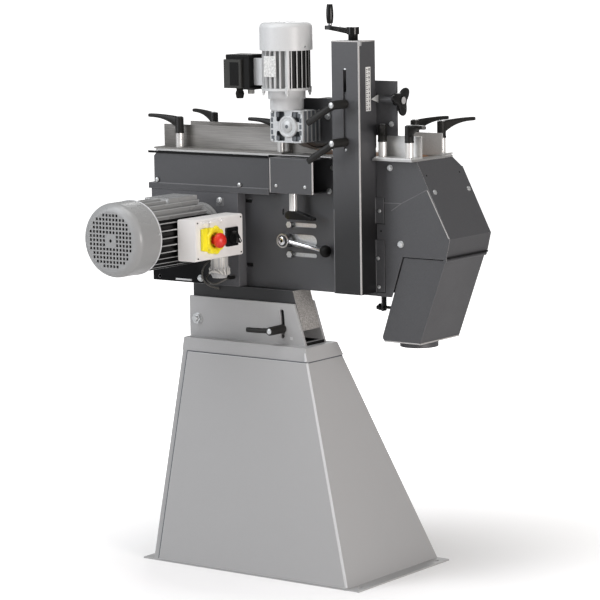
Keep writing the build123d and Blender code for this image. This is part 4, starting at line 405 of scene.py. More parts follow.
def grimy(material, name, centre, reach, gleam=0.5):
    """A copy of a finish that is painted dark about a point, in metres; gleam is how much it mirrors."""
    made = material.copy()
    made.name = name
    tree = made.node_tree
    shader = tree.nodes["Principled BSDF"]
    tone = shader.inputs["Base Color"].links[0].from_node
    place = next(node for node in tree.nodes if node.bl_idname == "ShaderNodeTexCoord")
    patch = add(tree, "ShaderNodeGroup", node_tree=painted_shade_patch, Centre=centre, Reach=reach)
    feed(tree, patch.inputs["Vector"], (place, "Object"))
    # The patch's near black is painted shade.
    shaded_tone = blend(tree, (patch, "Mask"), (tone, 2), (0.004, 0.004, 0.0045, 1))
    feed(tree, shader.inputs["Base Color"], (shaded_tone, 2))
    feed(tree, shader.inputs["Specular IOR Level"], gleam)
    return made


# Painted shade: the tray darkens under the motor and the column towards its foot; the carrier darkens about a
# point along it.
tray_paint = grimy(tray_lightened, "tray_coat", (-0.27, -0.173, 0.775), 0.23, gleam=0.08)
column_paint = grimy(dark_paint, "column_coat", (0.39, -0.17, 0.80), 0.36)
carrier_paint = grimy(dark_paint, "carrier_coat", (-0.04, -0.17, 0.74), 0.28)
print("grimy:", [made.name for made in (tray_paint, column_paint, carrier_paint)])

# %% [markdown]
# ## Handing out the finishes
# The record names a material slot for every solid. A table from slot to finish paints them all at
# once, and a few solids differ from the rest of their slot.

# %% Which finish each solid takes
by_slot = {
    "pedestal_paint": light_paint, "head_paint": dark_paint, "zinc": zinc, "table_steel": table_metal,
    "shaft_steel": turned_metal, "black_metal": black_paint, "lever_chrome": chrome,
    "motor_aluminium": motor_paint, "wheel_aluminium": wheel_metal, "fence_aluminium": fence_metal,
    "scale_foil": foil, "abrasive_cloth": abrasive, "tyre_rubber": rubber, "box_plastic": box_plastic,
    "inlet_plastic": inlet_plastic, "flap_plastic": yellow_plastic, "button_plastic": red_plastic,
    "black_plastic": black_plastic,
}
slot_of = {row["node"]: row["material_slot"] for row in frame["record"]["subparts"]}
body_of = {name: body for body, names in frame["record"]["behaviour"]["bodies"].items() for name in names}
finish_of = {name: by_slot[slot] for name, slot in slot_of.items()}
finish_of.update({
    "feed_motor": feed_paint, "feed_fan_cover": feed_paint, "feed_gearbox": cast_metal,
    "motor_bracket": tray_paint, "column": column_paint, "tilt_carrier": carrier_paint,
    "outfeed_front_fence": outfeed_metal, "outfeed_rear_fence": outfeed_metal, "lever_sleeves": sleeve_metal,
    "selector_knob": gloss_plastic, "crank": gloss_plastic, "crank_grip": gloss_plastic,
    "box_lever": gloss_plastic,
})
for name, solid in solids.items():
    solid.data.materials.clear()
    solid.data.materials.append(finish_of[name])
print("slots:", len(set(slot_of.values())))

# %% [markdown]
# ## Folded and broken edges
# Sheet metal has no knife edges: a fold leaves a radius, and a cut edge is broken before it is
# painted. A bevel could be put into every solid, but that would make them heavy. So a copy of
# each solid is merged, its flat faces are joined, and a bevel rounds only the sharp edges. The
# bevel's own faces take a second, paler finish, a painted highlight along the edge.
# One solid may also carry more than one finish, such as a black ball on a chrome rod. Such
# zones are picked by where the middle of a face lies.

# %% Rounding helpers


def settle(piece, body):
    """A finished piece rides on a body."""
    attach(piece, body)
    print(piece.name, "rides on", body)


def bake(piece):
    """Turns what the modifiers make into the piece's own mesh."""
    bpy.context.view_layer.update()
    graph = bpy.context.evaluated_depsgraph_get()
    made = bpy.data.meshes.new_from_object(piece.evaluated_get(graph))
    piece.modifiers.clear()
    piece.data = made


def soften(piece, width, segments=2, sharper_than=32, edge=-1):
    """Shades gentle edges smooth, and rounds sharper ones to the width in mm."""
    piece.data.shade_smooth()
    piece.data.set_sharp_from_angle(angle=radians(sharper_than))
    if not width:
        return
    bevel = piece.modifiers.new("broken_edges", "BEVEL")
    bevel.width = width / 1000
    bevel.segments = segments
    bevel.limit_method = "ANGLE"
    bevel.angle_limit = radians(sharper_than)
    bevel.harden_normals = True
    bevel.material = edge
    bake(piece)


def repaint(mesh, zones, edge_zones):
    """Gives faces whose middle passes a test (x, y, z in mm) another finish."""
    edges = {face.index for face in mesh.polygons if face.material_index == 1}
    for rules, faces in ((zones, None), (edge_zones, edges)):
        for material, test in rules:
            mesh.materials.append(material)
            for face in mesh.polygons:
                if (faces is None or face.index in faces) and test(*(1000 * face.center)):
                    face.material_index = len(mesh.materials) - 1


def rounded(node, width, edge=None, segments=2, sharper_than=32, zones=(), edge_zones=(), shrink=0.0):
    """Stands for a solid, with its edges rounded and its zones painted; shrink in mm frees a tight fit."""
    skin = bmesh.new()
    skin.from_mesh(solids[node].data)
    bmesh.ops.remove_doubles(skin, verts=skin.verts, dist=2e-6)
    bmesh.ops.dissolve_limit(skin, angle_limit=radians(0.8), verts=skin.verts, edges=skin.edges)
    skin.normal_update()
    for vert in skin.verts:
        vert.co -= shrink / 1000 * vert.normal
    mesh = bpy.data.meshes.new(node + "_rounded")
    skin.to_mesh(mesh)
    skin.free()
    mesh.materials.append(finish_of[node])
    mesh.materials.append(edge or finish_of[node])
    piece = show(node + "_rounded", mesh)
    soften(piece, width, segments, sharper_than, 1)
    repaint(piece.data, zones, edge_zones)
    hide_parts(node)
    settle(piece, body_of[node])


# %% [markdown]
# ## Shared axes
# Many pieces sit on the same few axes. An axis that is named once keeps its pieces in line. Each
# pair is where the axis passes, in mm; the axes run front to back, left to right or up.

# %% Axes
motor_x, motor_z = -169, 926
gear_x, gear_z = 158, 1208
tilt_x, tilt_z = -180, 678
tension_x, tension_z = 92, 901
stop_y, stop_z = -322, 914
selector_y, selector_z = -242, 915
star_y, star_z = -138, 1279
feed_x, feed_y = 134, -187
print("belt motor axis:", motor_x, motor_z, "feed motor axis:", feed_x, feed_y)

# %% Round the pedestal and the head's sheet metal
for node in ("pedestal", "front_panel"):
    rounded(node, 1.6, light_edge)
# Painted shade: the floor and inner faces between the bracket's cheeks are black.
rounded(
    "tilt_bracket", 1.6, light_edge,
    zones=[(ink_and_shade, lambda x, y, z: x > 90 and -176 < y < -94 and z < 680)],
)
for node in ("main_plate", "belt_casing", "motor_bracket", "table_skirt", "rear_door"):
    rounded(node, 1.0, dark_edge)
# Painted highlights on the front box's left and right front edges.
rounded(
    "front_box", 1.4, dark_edge,
    edge_zones=[(edge_highlight, lambda x, y, z: y < -205 and (x < 95 or x > 228))],
)
# Painted highlights on the column's front right edge, its top edges and its lower left edge.
rounded(
    "column", 3.0, dark_edge, 3,
    edge_zones=[
        (edge_highlight, lambda x, y, z: (x > 376 and y < -207) or z > 1428),
        (light_edge, lambda x, y, z: x < 299 and y < -207 and z < 1000),
    ],
)
# A painted highlight on the deflector cover's front right edge.
rounded(
    "deflector_cover", 1.4, dark_edge,
    edge_zones=[(edge_highlight, lambda x, y, z: y < -140 and x > 515 and 880 < z < 1090)],
)
# A painted highlight on the chute's front bottom edge.
rounded("dust_chute", 1.2, dark_edge, edge_zones=[(edge_highlight, lambda x, y, z: 650 < z < 660 and y < -130)])
# The carrier's slanted end takes a painted sheen.
rounded("tilt_carrier", 1.0, dark_edge, zones=[(carrier_end_sheen, lambda x, y, z: x > 130 and 670 < z < 771)])
rounded(
    "carriage_plate", 1.0, dark_edge,
    zones=[(foil, lambda x, y, z: 381.5 < x < 385 and y < -131)],
)

# %% Round the tables, boxes and fences
for node in ("infeed_front_fence", "infeed_rear_fence", "outfeed_front_fence", "outfeed_rear_fence"):
    rounded(node, 0.4)
for node in ("infeed_table", "outfeed_table"):
    rounded(node, 0.5)
rounded(
    "switch_box", 2.0, box_plastic, 3,
    zones=[(gloss_plastic, lambda x, y, z: x > -15.5 and y > -275)],
)
rounded(
    "feed_terminal_box", 1.5, black_plastic,
    zones=[
        (feed_paint, lambda x, y, z: x > 42 and z > 1306),
        (inlet_plastic, lambda x, y, z: y > -201 and z < 1305),
    ],
)
# Painted shade on the faces set back in the gearbox's front.
rounded(
    "feed_gearbox", 1.2, cast_metal,
    zones=[(pocket_cast, lambda x, y, z: -213.5 < y < -200 and 103 < x < 201 and 1169 < z < 1247)],
)

# %% Paint the turned pieces
rounded(
    "tension_lever", 0.8, sharper_than=50,
    zones=[
        (turned_metal, lambda x, y, z: x < 112),
        (black_plastic, lambda x, y, z: x > 214),
    ],
)
# Painted shade between the belt motor's fins.
rounded(
    "motor_stator", 0,
    zones=[(fin_shade, lambda x, y, z: -455 < y < -200 and z < 968 and hypot(x - motor_x, z - motor_z) < 92)],
)
feed_fins = (1307, 1413)


def in_feed_fins(x, y, z, reach):
    return feed_fins[0] < z < feed_fins[1] and hypot(x - feed_x, y - feed_y) < reach


# Painted shade between the feed motor's fins, darkest on its right side.
rounded(
    "feed_motor", 0,
    zones=[
        (feed_fin_shade, lambda x, y, z: in_feed_fins(x, y, z, 58.5)),
        (fin_shade, lambda x, y, z: in_feed_fins(x, y, z, 60) and 4 * x + 3 * y > 15),
    ],
)
rounded("box_lever", 0.8, sharper_than=40, shrink=0.25)
rounded("motor_rotor", 0, zones=[(black_plastic, lambda x, y, z: y < -480)])
# Painted shade: the band between the inlet's ribs is darker.
rounded(
    "plug_inlet", 0,
    zones=[(mid_plastic, lambda x, y, z: 810 < z < 840), (black_plastic, lambda x, y, z: y > -236)],
)
rounded(
    "feed_wheel", 0,
    zones=[(wheel_metal, lambda x, y, z: hypot(x - gear_x, z - gear_z) < 37 or y < -95)],
)
rounded(
    "crank", 0.8, sharper_than=50,
    zones=[(turned_metal, lambda x, y, z: z < 1431 or (z > 1468.5 and x < 275))],
)

# %% [markdown]
# ## Small shapes
# The pieces that follow are drawn straight in millimetres in the machine's own frame, from a
# few basic forms: rods, blocks, plates, turned profiles and lofted arms. Each form says which
# finish of the piece it takes. A modifier stack could do the same, but plain mesh calls stay
# readable, and nothing hides in a history.

# %% Basic forms


def tint(verts, part):
    """Gives the faces at some vertices the finish with this number."""
    for face in {face for vert in verts for face in vert.link_faces}:
        face.material_index = part


def rod(shape, start, end, radius, tip=None, sides=24, part=0):
    """A round bar between two points; tip is the radius at its end."""
    start, end = Vector(start), Vector(end)
    turn = (end - start).to_track_quat("Z", "Y").to_matrix().to_4x4()
    made = bmesh.ops.create_cone(
        shape, cap_ends=True, segments=sides, radius1=radius, radius2=radius if tip is None else tip,
        depth=(end - start).length, matrix=Matrix.Translation((start + end) / 2) @ turn,
    )
    tint(made["verts"], part)


def wires(shape, *rows):
    """Thin rods; a row is (start, end, radius, finish)."""
    for start, end, radius, part in rows:
        rod(shape, start, end, radius, sides=12, part=part)


def block(shape, low, high, part=0):
    """A box between two corners."""
    low, high = Vector(low), Vector(high)
    place = Matrix.Translation((low + high) / 2) @ Matrix.Diagonal((*(high - low), 1))
    tint(bmesh.ops.create_cube(shape, size=1.0, matrix=place)["verts"], part)


def loft(shape, rings, part=0, closed=False):
    """A skin over rings of the same number of points, capped, or closed onto its first ring."""
    loops = [[shape.verts.new(point) for point in ring] for ring in rings]
    for near, far in zip(loops, loops[1:] + (loops[:1] if closed else [])):
        for i in range(len(near)):
            shape.faces.new((near[i - 1], near[i], far[i], far[i - 1]))
    if not closed:
        shape.faces.new(loops[0])
        shape.faces.new(reversed(loops[-1]))
    tint([vert for ring in loops for vert in ring], part)


def slab(shape, outline, depth, part=0):
    """A plate: an outline of points, pushed along a depth."""
    loft(shape, [outline, [Vector(point) + Vector(depth) for point in outline]], part)


def angles(count):
    """Angles spread evenly over one turn."""
    return [2 * pi * i / count for i in range(count)]


def axis_at(x, y, z, about="X"):
    """Where a turned form sits, so that its height runs to the front, or to the right about Y."""
    return Matrix.Translation((x, y, z)) @ Matrix.Rotation(pi / 2, 4, about)


def turned(shape, profile, place=Matrix(), sides=32, part=0, closed=False):
    """A turned form: (radius, height) points about the place's z axis."""
    circle = [(cos(a), sin(a)) for a in angles(sides)]
    rings = [[place @ Vector((r * c, r * s, h)) for c, s in circle] for r, h in profile]
    loft(shape, rings, part, closed)


def mesh_of(name, shape):
    """A mesh in metres from a shape drawn in mm."""
    bmesh.ops.recalc_face_normals(shape, faces=shape.faces)
    bmesh.ops.scale(shape, vec=(0.001, 0.001, 0.001), verts=shape.verts)
    mesh = bpy.data.meshes.new(name)
    shape.to_mesh(mesh)
    shape.free()
    return mesh


def build(name, shape, materials, body, bevel=0.0, sharper_than=35):
    """Makes a piece from a shape drawn in mm."""
    piece = show(name, mesh_of(name, shape))
    for material in materials:
        piece.data.materials.append(material)
    soften(piece, bevel, sharper_than=sharper_than)
    settle(piece, body)
    return piece


# %% [markdown]
# ## Clamp levers
# Eleven black levers clamp the fences, the column's slide and the tilt. Each is one moulding:
# a round hub on a stud, and an arm that leaves the hub in a deep curve and ends flat and thin.
# An arm like this is lofted: rounded sections stand along it, and a skin is drawn over them.
# A bright button in the hub's end lets the hub slip on its stud, so that the arm can be set to
# any angle.

# %% Lever shape


def arm_ring(x, low, high, half_width, corners=20, squareness=3.0):
    """A rounded section across the arm."""
    middle, half = (low + high) / 2, (high - low) / 2
    ring = []
    for a in angles(corners):
        c, s = cos(a), sin(a)
        stretch = (abs(c) ** squareness + abs(s) ** squareness) ** (-1 / squareness)
        ring.append(Vector((x, half_width * c * stretch, middle + half * s * stretch)))
    return ring


arm_sections = 14


def lever(node, seat, along, hub, reach, out, stud_radius=6.0, half_width=6.6):
    """A clamp lever in place of a solid: seat in mm, directions of the arm and the hub."""
    seat, along, out = Vector(seat), Vector(along).normalized(), Vector(out)
    place = Matrix((along, out.cross(along), out)).transposed().to_4x4()
    place.translation = seat
    stud = max((seat - 1000 * vert.co).dot(out) for vert in solids[node].data.vertices)
    shape = bmesh.new()
    rings = []
    for i in range(arm_sections + 1):
        s = i / arm_sections
        top = hub + 6 * (1 - (1 - s) ** 2.2)
        low = hub - 4.2 - 33 * (1 - s) ** 2.6
        end = 1.0 if i < arm_sections else 0.9
        middle, half = (top + low) / 2, (top - low) / 2 * end
        rings.append(arm_ring(reach * s, middle - half, middle + half, half_width * end))
    loft(shape, rings)
    rim = [(11.6, 0), (12.2, 0.8), (12.2, 4), (11.6, 5)]
    turned(shape, rim + [(11.4, hub - 2.5), (10.6, hub - 0.6), (8.6, hub)])
    turned(shape, [(7.4, hub - 1), (7.4, hub + 0.8), (6.4, hub + 1.6), (2, hub + 1.9)], part=1)
    turned(shape, [(stud_radius - 0.6, -stud), (stud_radius, 0.8 - stud), (stud_radius, 0.5)], part=2)
    bmesh.ops.transform(shape, matrix=place, verts=shape.verts)
    finishes = [lever_plastic, zinc, turned_metal]
    piece = build(node + "_moulding", shape, finishes, body_of[node], sharper_than=48)
    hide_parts(node)


# %% Place the levers
up, front = (0, 0, 1), (0, -1, 0)
for node, x, y, angle in (
    ("infeed_lever_1", -260, -144, 180), ("infeed_lever_2", -273, 24, 160),
    ("infeed_lever_3", 81, -144, 180), ("infeed_lever_4", 68, 24, 160),
    ("outfeed_lever_1", 404, -144, -55), ("outfeed_lever_2", 487, -144, -35),
    ("outfeed_lever_3", 391, 24, 68), ("outfeed_lever_4", 474, 24, 68),
):
    lever(node, (x, y, 1172.3), (cos(radians(angle)), sin(radians(angle)), 0), 44, 104, up)
for node, z in (("column_lever_upper", 1271), ("column_lever_lower", 1174)):
    lever(node, (336, -212, z), (-cos(radians(33)), 0, -sin(radians(33))), 60, 88, front, 5.0, 8.4)
lever("tilt_lever", (104.915, -182, 671.037), (-1, 0, 0), 60, 72, front)

# %% [markdown]
# ## Screws and bolts
# The same few fasteners hold every sheet. Copying each one by hand would be slow and hard to
# change. So a Geometry Nodes group takes a cloud of points, stands one fastener on each point
# along the point's own direction, spins it by a seeded random angle, and paints it. Each body
# of the machine gets its own cloud, so that screws move with the piece that they hold.

# %% Fastener group


def fastener_group():
    group = bpy.data.node_groups.new("fastener_set", "GeometryNodeTree")
    for label, kind in (
        ("Places", "Geometry"), ("Fastener", "Object"), ("Finish", "Material"),
        ("Seed", "Int"), ("Spin", "Float"),
    ):
        group.interface.new_socket(label, in_out="INPUT", socket_type="NodeSocket" + kind)
    group.interface.new_socket("Fasteners", in_out="OUTPUT", socket_type="NodeSocketGeometry")
    given = add(group, "NodeGroupInput")
    facing = add(group, "GeometryNodeInputNamedAttribute", data_type="FLOAT_VECTOR", Name="facing")
    size = add(group, "GeometryNodeInputNamedAttribute", data_type="FLOAT", Name="size")
    aim = add(group, "FunctionNodeAlignRotationToVector", axis="Z", Vector=(facing, "Attribute"))
    spin = add(group, "FunctionNodeRandomValue", data_type="FLOAT", Seed=(given, "Seed"))
    feed(group, spin.inputs[3], (given, "Spin"))
    about = add(group, "ShaderNodeCombineXYZ", Z=(spin, 1))
    turn = add(group, "FunctionNodeEulerToRotation", (about, 0))
    both = add(group, "FunctionNodeRotateRotation", (aim, 0), (turn, 0), rotation_space="LOCAL")
    source = add(group, "GeometryNodeObjectInfo", Object=(given, "Fastener"))
    stand = add(
        group, "GeometryNodeInstanceOnPoints", Points=(given, "Places"), Instance=(source, "Geometry"),
        Rotation=(both, 0), Scale=(size, "Attribute"),
    )
    real = add(group, "GeometryNodeRealizeInstances", (stand, 0))
    coat = add(group, "GeometryNodeSetMaterial", Geometry=(real, 0), Material=(given, "Finish"))
    add(group, "NodeGroupOutput", Fasteners=(coat, 0))
    return group


fastener_set = fastener_group()
print("fastener nodes:", len(fastener_set.nodes))

# %% Fastener patterns


def pattern(name, *forms):
    """An object that is only copied from: forms in mm, standing on the origin.

    A form is (profile, sides) for a turned one, or two corners for a block.
    """
    shape = bmesh.new()
    for first, second in forms:
        if isinstance(first, list):
            turned(shape, first, sides=second)
        else:
            block(shape, first, second)
    mesh = mesh_of(name, shape)
    mesh.shade_smooth()
    mesh.set_sharp_from_angle(angle=radians(35))
    return bpy.data.objects.new(name, mesh)


washer = [(9.0, -0.2), (9.0, 1.2), (8.5, 1.6), (3, 1.6)]
hex_bolt = pattern("hex_bolt", (washer, 20), ([(7.4, 1.2), (7.4, 5.6), (6.3, 6.6), (2, 6.6)], 6))
pan_head = [(5.6, -0.2), (5.6, 0.7), (5.0, 2.0), (3.4, 2.9), (2.0, 3.0), (1.8, 1.6), (0.4, 1.6)]
pan_screw = pattern("pan_screw", (pan_head, 14))
cap_head = [(4.0, -0.2), (4.0, 3.4), (3.5, 3.8), (2.2, 3.8), (2.0, 2.0), (0.4, 2.0)]
cap_screw = pattern("cap_screw", (cap_head, 12))
dark_dot = pattern("dark_dot", ([(2.4, -0.4), (2.4, 0.15), (0.4, 0.15)], 12))
ring_tooth = pattern("ring_tooth", ((-9.0, -1.5, -7.0), (9.0, 1.5, 2.6)))
scale_mark = pattern("scale_mark", ((-1.0, -3.2, -0.1), (1.0, 3.2, 0.12)))
print("patterns:", [o.name for o in (hex_bolt, pan_screw, cap_screw, dark_dot, ring_tooth, scale_mark)])

# %% Fastener clouds
fastener_seed = 3


def fasten(name, kind, material, body, places, spin=2 * pi):
    """One piece of many fasteners; places are rows of (point in mm, direction, size)."""
    cloud = bpy.data.meshes.new(name)
    cloud.from_pydata([Vector(point) / 1000 for point, way, size in places], [], [])
    cloud.attributes.new("facing", "FLOAT_VECTOR", "POINT")
    cloud.attributes.new("size", "FLOAT", "POINT")
    cloud.attributes["facing"].data.foreach_set("vector", [v for point, way, size in places for v in way])
    cloud.attributes["size"].data.foreach_set("value", [size for point, way, size in places])
    piece = show(name, cloud)
    maker = piece.modifiers.new("fasteners", "NODES")
    maker.node_group = fastener_set
    given = {"Fastener": kind, "Finish": material, "Seed": fastener_seed, "Spin": spin}
    for item in fastener_set.interface.items_tree:
        if item.name in given:
            maker[item.identifier] = given[item.name]
    bake(piece)
    settle(piece, body)


right = (1, 0, 0)
slope = (0.891, 0, 0.4545)
fasten("head_screws", pan_screw, zinc, "head", [
    ((-317, -175, 1046), front, 1.15), ((-36, -175, 1044), front, 1.15),
    ((113, -212, 1052), front, 0.8), ((206, -212, 1052), front, 0.8),
    ((388, -146, 871), front, 0.9), ((390, -146, 797), front, 0.9), ((394, -146, 994), front, 0.9),
    ((548, -121, 1047), slope, 1.25), ((550, 34, 1043), slope, 1.25),
])
fasten("head_bolts", hex_bolt, zinc, "head", [
    ((245, -140, 1099), front, 0.85), ((232, -140, 1037), front, 0.85),
    ((426, -143, 1106), front, 0.9), ((457, -143, 911), front, 1.0),
    ((-174, -173, 786), front, 1.05), ((-105, -173, 1000), front, 0.95),
])
fasten("carriage_bolts", hex_bolt, zinc, "carriage", [
    ((224, -131, 1231), front, 1.0), ((424, -131, 1217), front, 0.8),
])
fasten("feed_screws", cap_screw, zinc, "carriage", [
    ((x, -215, z), front, 0.9) for x in (107, 197) for z in (1171, 1245)
] + [((202.2, -198, 1413), (0.987, -0.16, 0), 0.7)])
fasten("lid_screws", cap_screw, black_plastic, "head", [
    ((-16, y, z), right, 0.5) for y in (-382, -199) for z in (963, 870)
])
cover_angles = [radians(angle) for angle in (9, -39, 171, 219)]
fasten("fan_cover_screws", cap_screw, zinc, "head", [
    ((motor_x + 96.8 * cos(a), -468, motor_z + 96.8 * sin(a)), (cos(a), 0, sin(a)), 0.8) for a in cover_angles
])
fasten("cover_dots", dark_dot, ink_and_shade, "head", [
    ((527, -126, 1089), slope, 1.0), ((528, 25, 1086), slope, 1.0), ((396, -143, 942), front, 1.0),
])
fasten("inlet_teeth", ring_tooth, inlet_plastic, "head", [
    ((-40 + 25.2 * cos(a), -262 + 25.2 * sin(a), 824), (cos(a), sin(a), 0), 1.0) for a in angles(16)
], spin=0.0)
bolted = [o for o in scene.objects if o.name.endswith(("screws", "bolts"))]
print("fastener faces:", sum(len(o.data.polygons) for o in bolted))

# %% [markdown]
# ## Emergency stop
# The stop's yellow shield hangs on a hinge over the red button. Its plate runs to the left, and
# a scalloped collar stands around the button, so that a slap of the hand still reaches it. A
# collar is a ring: three wavy outlines and three round ones, skinned into a closed band.

# %% Emergency stop shield
scallops = 9


def wavy(x, reach, wave=0):
    """A ring about the stop's axis whose radius swings by the wave; without one it is round."""
    ring = []
    for a in angles(96):
        r = reach + wave * cos(scallops * a)
        ring.append((x, stop_y + r * cos(a), stop_z + r * sin(a)))
    return ring


shield = bmesh.new()
loft(shield, [
    wavy(-14.8, 36, 2.2), wavy(-4, 36, 2.2), wavy(-0.6, 34, 2.0),
    wavy(-0.6, 28), wavy(-6, 19.6), wavy(-14.8, 19.6),
], closed=True)
slab(shield, [(-14.4, -371, 890), (-14.4, -371, 946), (-14.4, -351, 949), (-14.4, -351, 886)], (7.5, 0, 0))
block(shield, (-15.2, -336, 944), (-9, -308, 960), part=1)
rod(shield, (-11.7, -336, 961), (-11.7, -308, 961), 3.6, part=1)
base = bmesh.new()
rod(base, (-16.1, stop_y, stop_z), (-15.3, stop_y, stop_z), 19, sides=40)
build("estop_base", base, [yellow_plastic], "head")
piece = build("estop_shield", shield, [yellow_plastic, box_plastic], "estop_flap", 0.8, 40)
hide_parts("estop_flap")
print("shield faces:", len(piece.data.polygons))

# %% [markdown]
# ## Selector mark
# Black on black, nobody could see which way the selector is turned, so the grip has a pale line
# at one end. It is a thin rod, half sunk into the grip's front, and it rides on the knob's own
# body, so it turns with the knob. A painted zone could do it only if the solid had a face there.

# %% Selector mark
lean = radians(35)
ends = [(10.1, selector_y + r * sin(lean), selector_z - r * cos(lean)) for r in (5, 15)]
pointer = bmesh.new()
rod(pointer, ends[0], ends[1], 1.1, sides=12)
build("selector_mark", pointer, [box_plastic], "selector_knob")

# %% [markdown]
# ## Feed unit
# The feed motor carries a bare rating plate, four lugs at its flange, and a black terminal box
# with a lid. The gearbox below it is a ribbed casting: dark blocks between its ribs paint the
# shade in its pockets, and a turned boss carries the output shaft.

# %% Feed motor plate, lugs and terminal box
motor_bits = bmesh.new()
block(motor_bits, (109, -251.4, 1337), (147, -249.4, 1391), part=1)
for angle in (37, 127, 217, 307):
    a = radians(angle)
    x, y = feed_x + 60 * cos(a), feed_y + 60 * sin(a)
    rod(motor_bits, (x, y, 1293), (x, y, 1310), 4.6, 5.4)
    rod(motor_bits, (x, y, 1287), (x, y, 1293), 3.0, part=2)
rod(motor_bits, (feed_x, feed_y, 1300), (feed_x, feed_y, 1307), 62, sides=48)
rod(motor_bits, (175.2, -236, 1304), (175.2, -236, 1405), 4.6)
finishes = [feed_paint, plate_foil, zinc]
build("feed_motor_details", motor_bits, finishes, "carriage", 0.6, 50)

terminal = bmesh.new()
block(terminal, (24, -228.5, 1305), (44, -172, 1388))
block(terminal, (-31, -231, 1384), (46, -163, 1391.5))
block(terminal, (-34.5, -236, 1304), (22, -228, 1379), part=1)
block(terminal, (-14, -236.8, 1311), (15, -235, 1372), part=2)
block(terminal, (24, -230, 1301), (56, -180, 1306))
rod(terminal, (3, -216, 1277), (3, -216, 1290), 9.0, 12.0)
rod(terminal, (3, -216, 1290), (3, -216, 1297), 12.0, 9.5)
build("terminal_lid", terminal, [black_plastic, lid_plastic, ink_and_shade], "carriage", 2.4)

# %% Gearbox ribs and boss
casting = bmesh.new()
boss = axis_at(gear_x, -219, gear_z)
turned(casting, [(29, -6), (29, 0), (27, 1.5), (23, 1.5), (22, 0.3), (15, 0.3)], boss)
turned(casting, [(15.2, -1), (15.2, 2.4), (13.6, 3.4), (2, 3.4)], boss)
turned(casting, [(5, 2), (5, 3.8), (0.5, 3.8)], boss, 20, 1)
# The dark blocks are painted shade in the pockets between the ribs and on the right side.
for x in (108, 124, 178, 192):
    block(casting, (x - 5, -215.6, 1232), (x + 5, -214.2, 1245), part=1)
    block(casting, (x - 5, -215.6, 1171), (x + 5, -214.2, 1183), part=1)
for z in (1192, 1208, 1224):
    for x in (105.5, 197):
        block(casting, (x - 3.5, -215.6, z - 6), (x + 3.5, -214.2, z + 6), part=1)
block(casting, (203, -214, 1168), (204.6, -140, 1248), part=1)
for y in (-213, -196, -178, -160, -143):
    block(casting, (203, y - 2.2, 1167), (206.5, y + 2.2, 1249), part=2)
build("gearbox_ribs", casting, [cast_metal, pocket_cast, motor_paint], "carriage", 0.5)

# %% [markdown]
# ## Scale
# A strip with a scale stands on the column's right face: a mark with a numeral every 10 mm, and a
# shorter mark between. The marks are one bar repeated, so the same node group as for the screws
# places them, with the spin set to zero. The numerals are text curves turned into mesh.

# %% Scale marks and numerals
scale_foot = 1257
marks = [((381.8, -178.4, scale_foot + 10 * i), right, 1.0) for i in range(11)]
marks += [((381.8, -179.6, scale_foot + 5 + 10 * i), right, 0.62) for i in range(10)]
fasten("scale_marks", scale_mark, ink_and_shade, "head", marks, spin=0.0)


def numeral(shape, text, place, height):
    """Text as flat mesh on the machine's right side; place is its middle, height its size in mm."""
    words = bpy.data.curves.new("numeral", "FONT")
    words.body = text
    words.size = height
    words.align_x, words.align_y = "CENTER", "CENTER"
    words.extrude = 0.08
    words.offset = 0.3
    holder = bpy.data.objects.new("numeral", words)
    flat = holder.to_mesh()
    start = len(shape.verts)
    shape.from_mesh(flat)
    shape.verts.ensure_lookup_table()
    turn = Matrix(((0, 0, 1, place[0]), (1, 0, 0, place[1]), (0, 1, 0, place[2]), (0, 0, 0, 1)))
    bmesh.ops.transform(shape, matrix=turn, verts=shape.verts[start:])
    holder.to_mesh_clear()
    bpy.data.objects.remove(holder)


numbers = bmesh.new()
for i in range(11):
    numeral(numbers, str(i), (381.85, -168.5, scale_foot + 10 * i), 9.0)
bmesh.ops.remove_doubles(numbers, verts=numbers.verts, dist=0.001)
build("scale_numerals", numbers, [ink_and_shade], "head")

# %% [markdown]
# ## Painted edge highlights
# Corners and folds of the sheet metal catch the light as thin bright lines. A bevel of one to
# three millimetres is too narrow to be seen from here, so thin rods are let into the corners and
# folds as painted highlights, light grey on the brightest and grey on the rest. A small block
# shows the bare corner at the column's top, and zinc blocks at the two ends of its slot are
# painted light.

# %% Painted edge highlights
corners = bmesh.new()
wires(
    corners,
    ((379.2, -210.2, 784), (379.2, -210.2, 1430), 2.5, 0),
    ((297, -210.4, 1429.6), (379.5, -210.4, 1429.6), 2.2, 0),
    ((379.4, -210.5, 1429.6), (379.4, -142, 1429.6), 2.2, 0),
    ((93.6, -210.4, 1034), (93.6, -210.4, 1124), 2.2, 0),
    ((229.4, -210.4, 1034), (229.4, -210.4, 1124), 2.2, 0),
    ((539.5, -141.6, 1053), (604, -141.6, 933), 1.9, 0),
    ((297.6, -210.4, 784), (297.6, -210.4, 1000), 1.9, 1),
    ((404, -142.6, 1015), (460, -142.6, 1016), 1.1, 1),
    ((460, -142.6, 1016), (538, -142.6, 1054), 1.1, 1),
    ((429, -142.6, 996), (460, -142.6, 1016), 1.1, 1),
)
block(corners, (380, -211.5, 1419), (385.5, -205, 1429), part=3)
# Painted light: bright zinc blocks at the two ends of the column's slot.
block(corners, (333.5, -210.6, 1358), (342.5, -209.4, 1364), part=2)
block(corners, (333.5, -210.6, 1148), (342.5, -209.4, 1157), part=2)
wires(corners, ((604.4, -141, 933), (604.4, 45, 933), 1.4, 1))
build("rubbed_corners", corners, [edge_highlight, dark_edge, zinc, motor_paint], "head", sharper_than=50)

# Painted highlights along the chute's bottom edges.
chute_rim = bmesh.new()
wires(
    chute_rim,
    ((400, -138.2, 656), (511, -138.2, 656), 2.0, 0),
    ((511.5, -138.2, 656), (511.5, 42, 656), 2.0, 0),
)
build("chute_rim", chute_rim, [edge_highlight], "dust_chute", sharper_than=50)
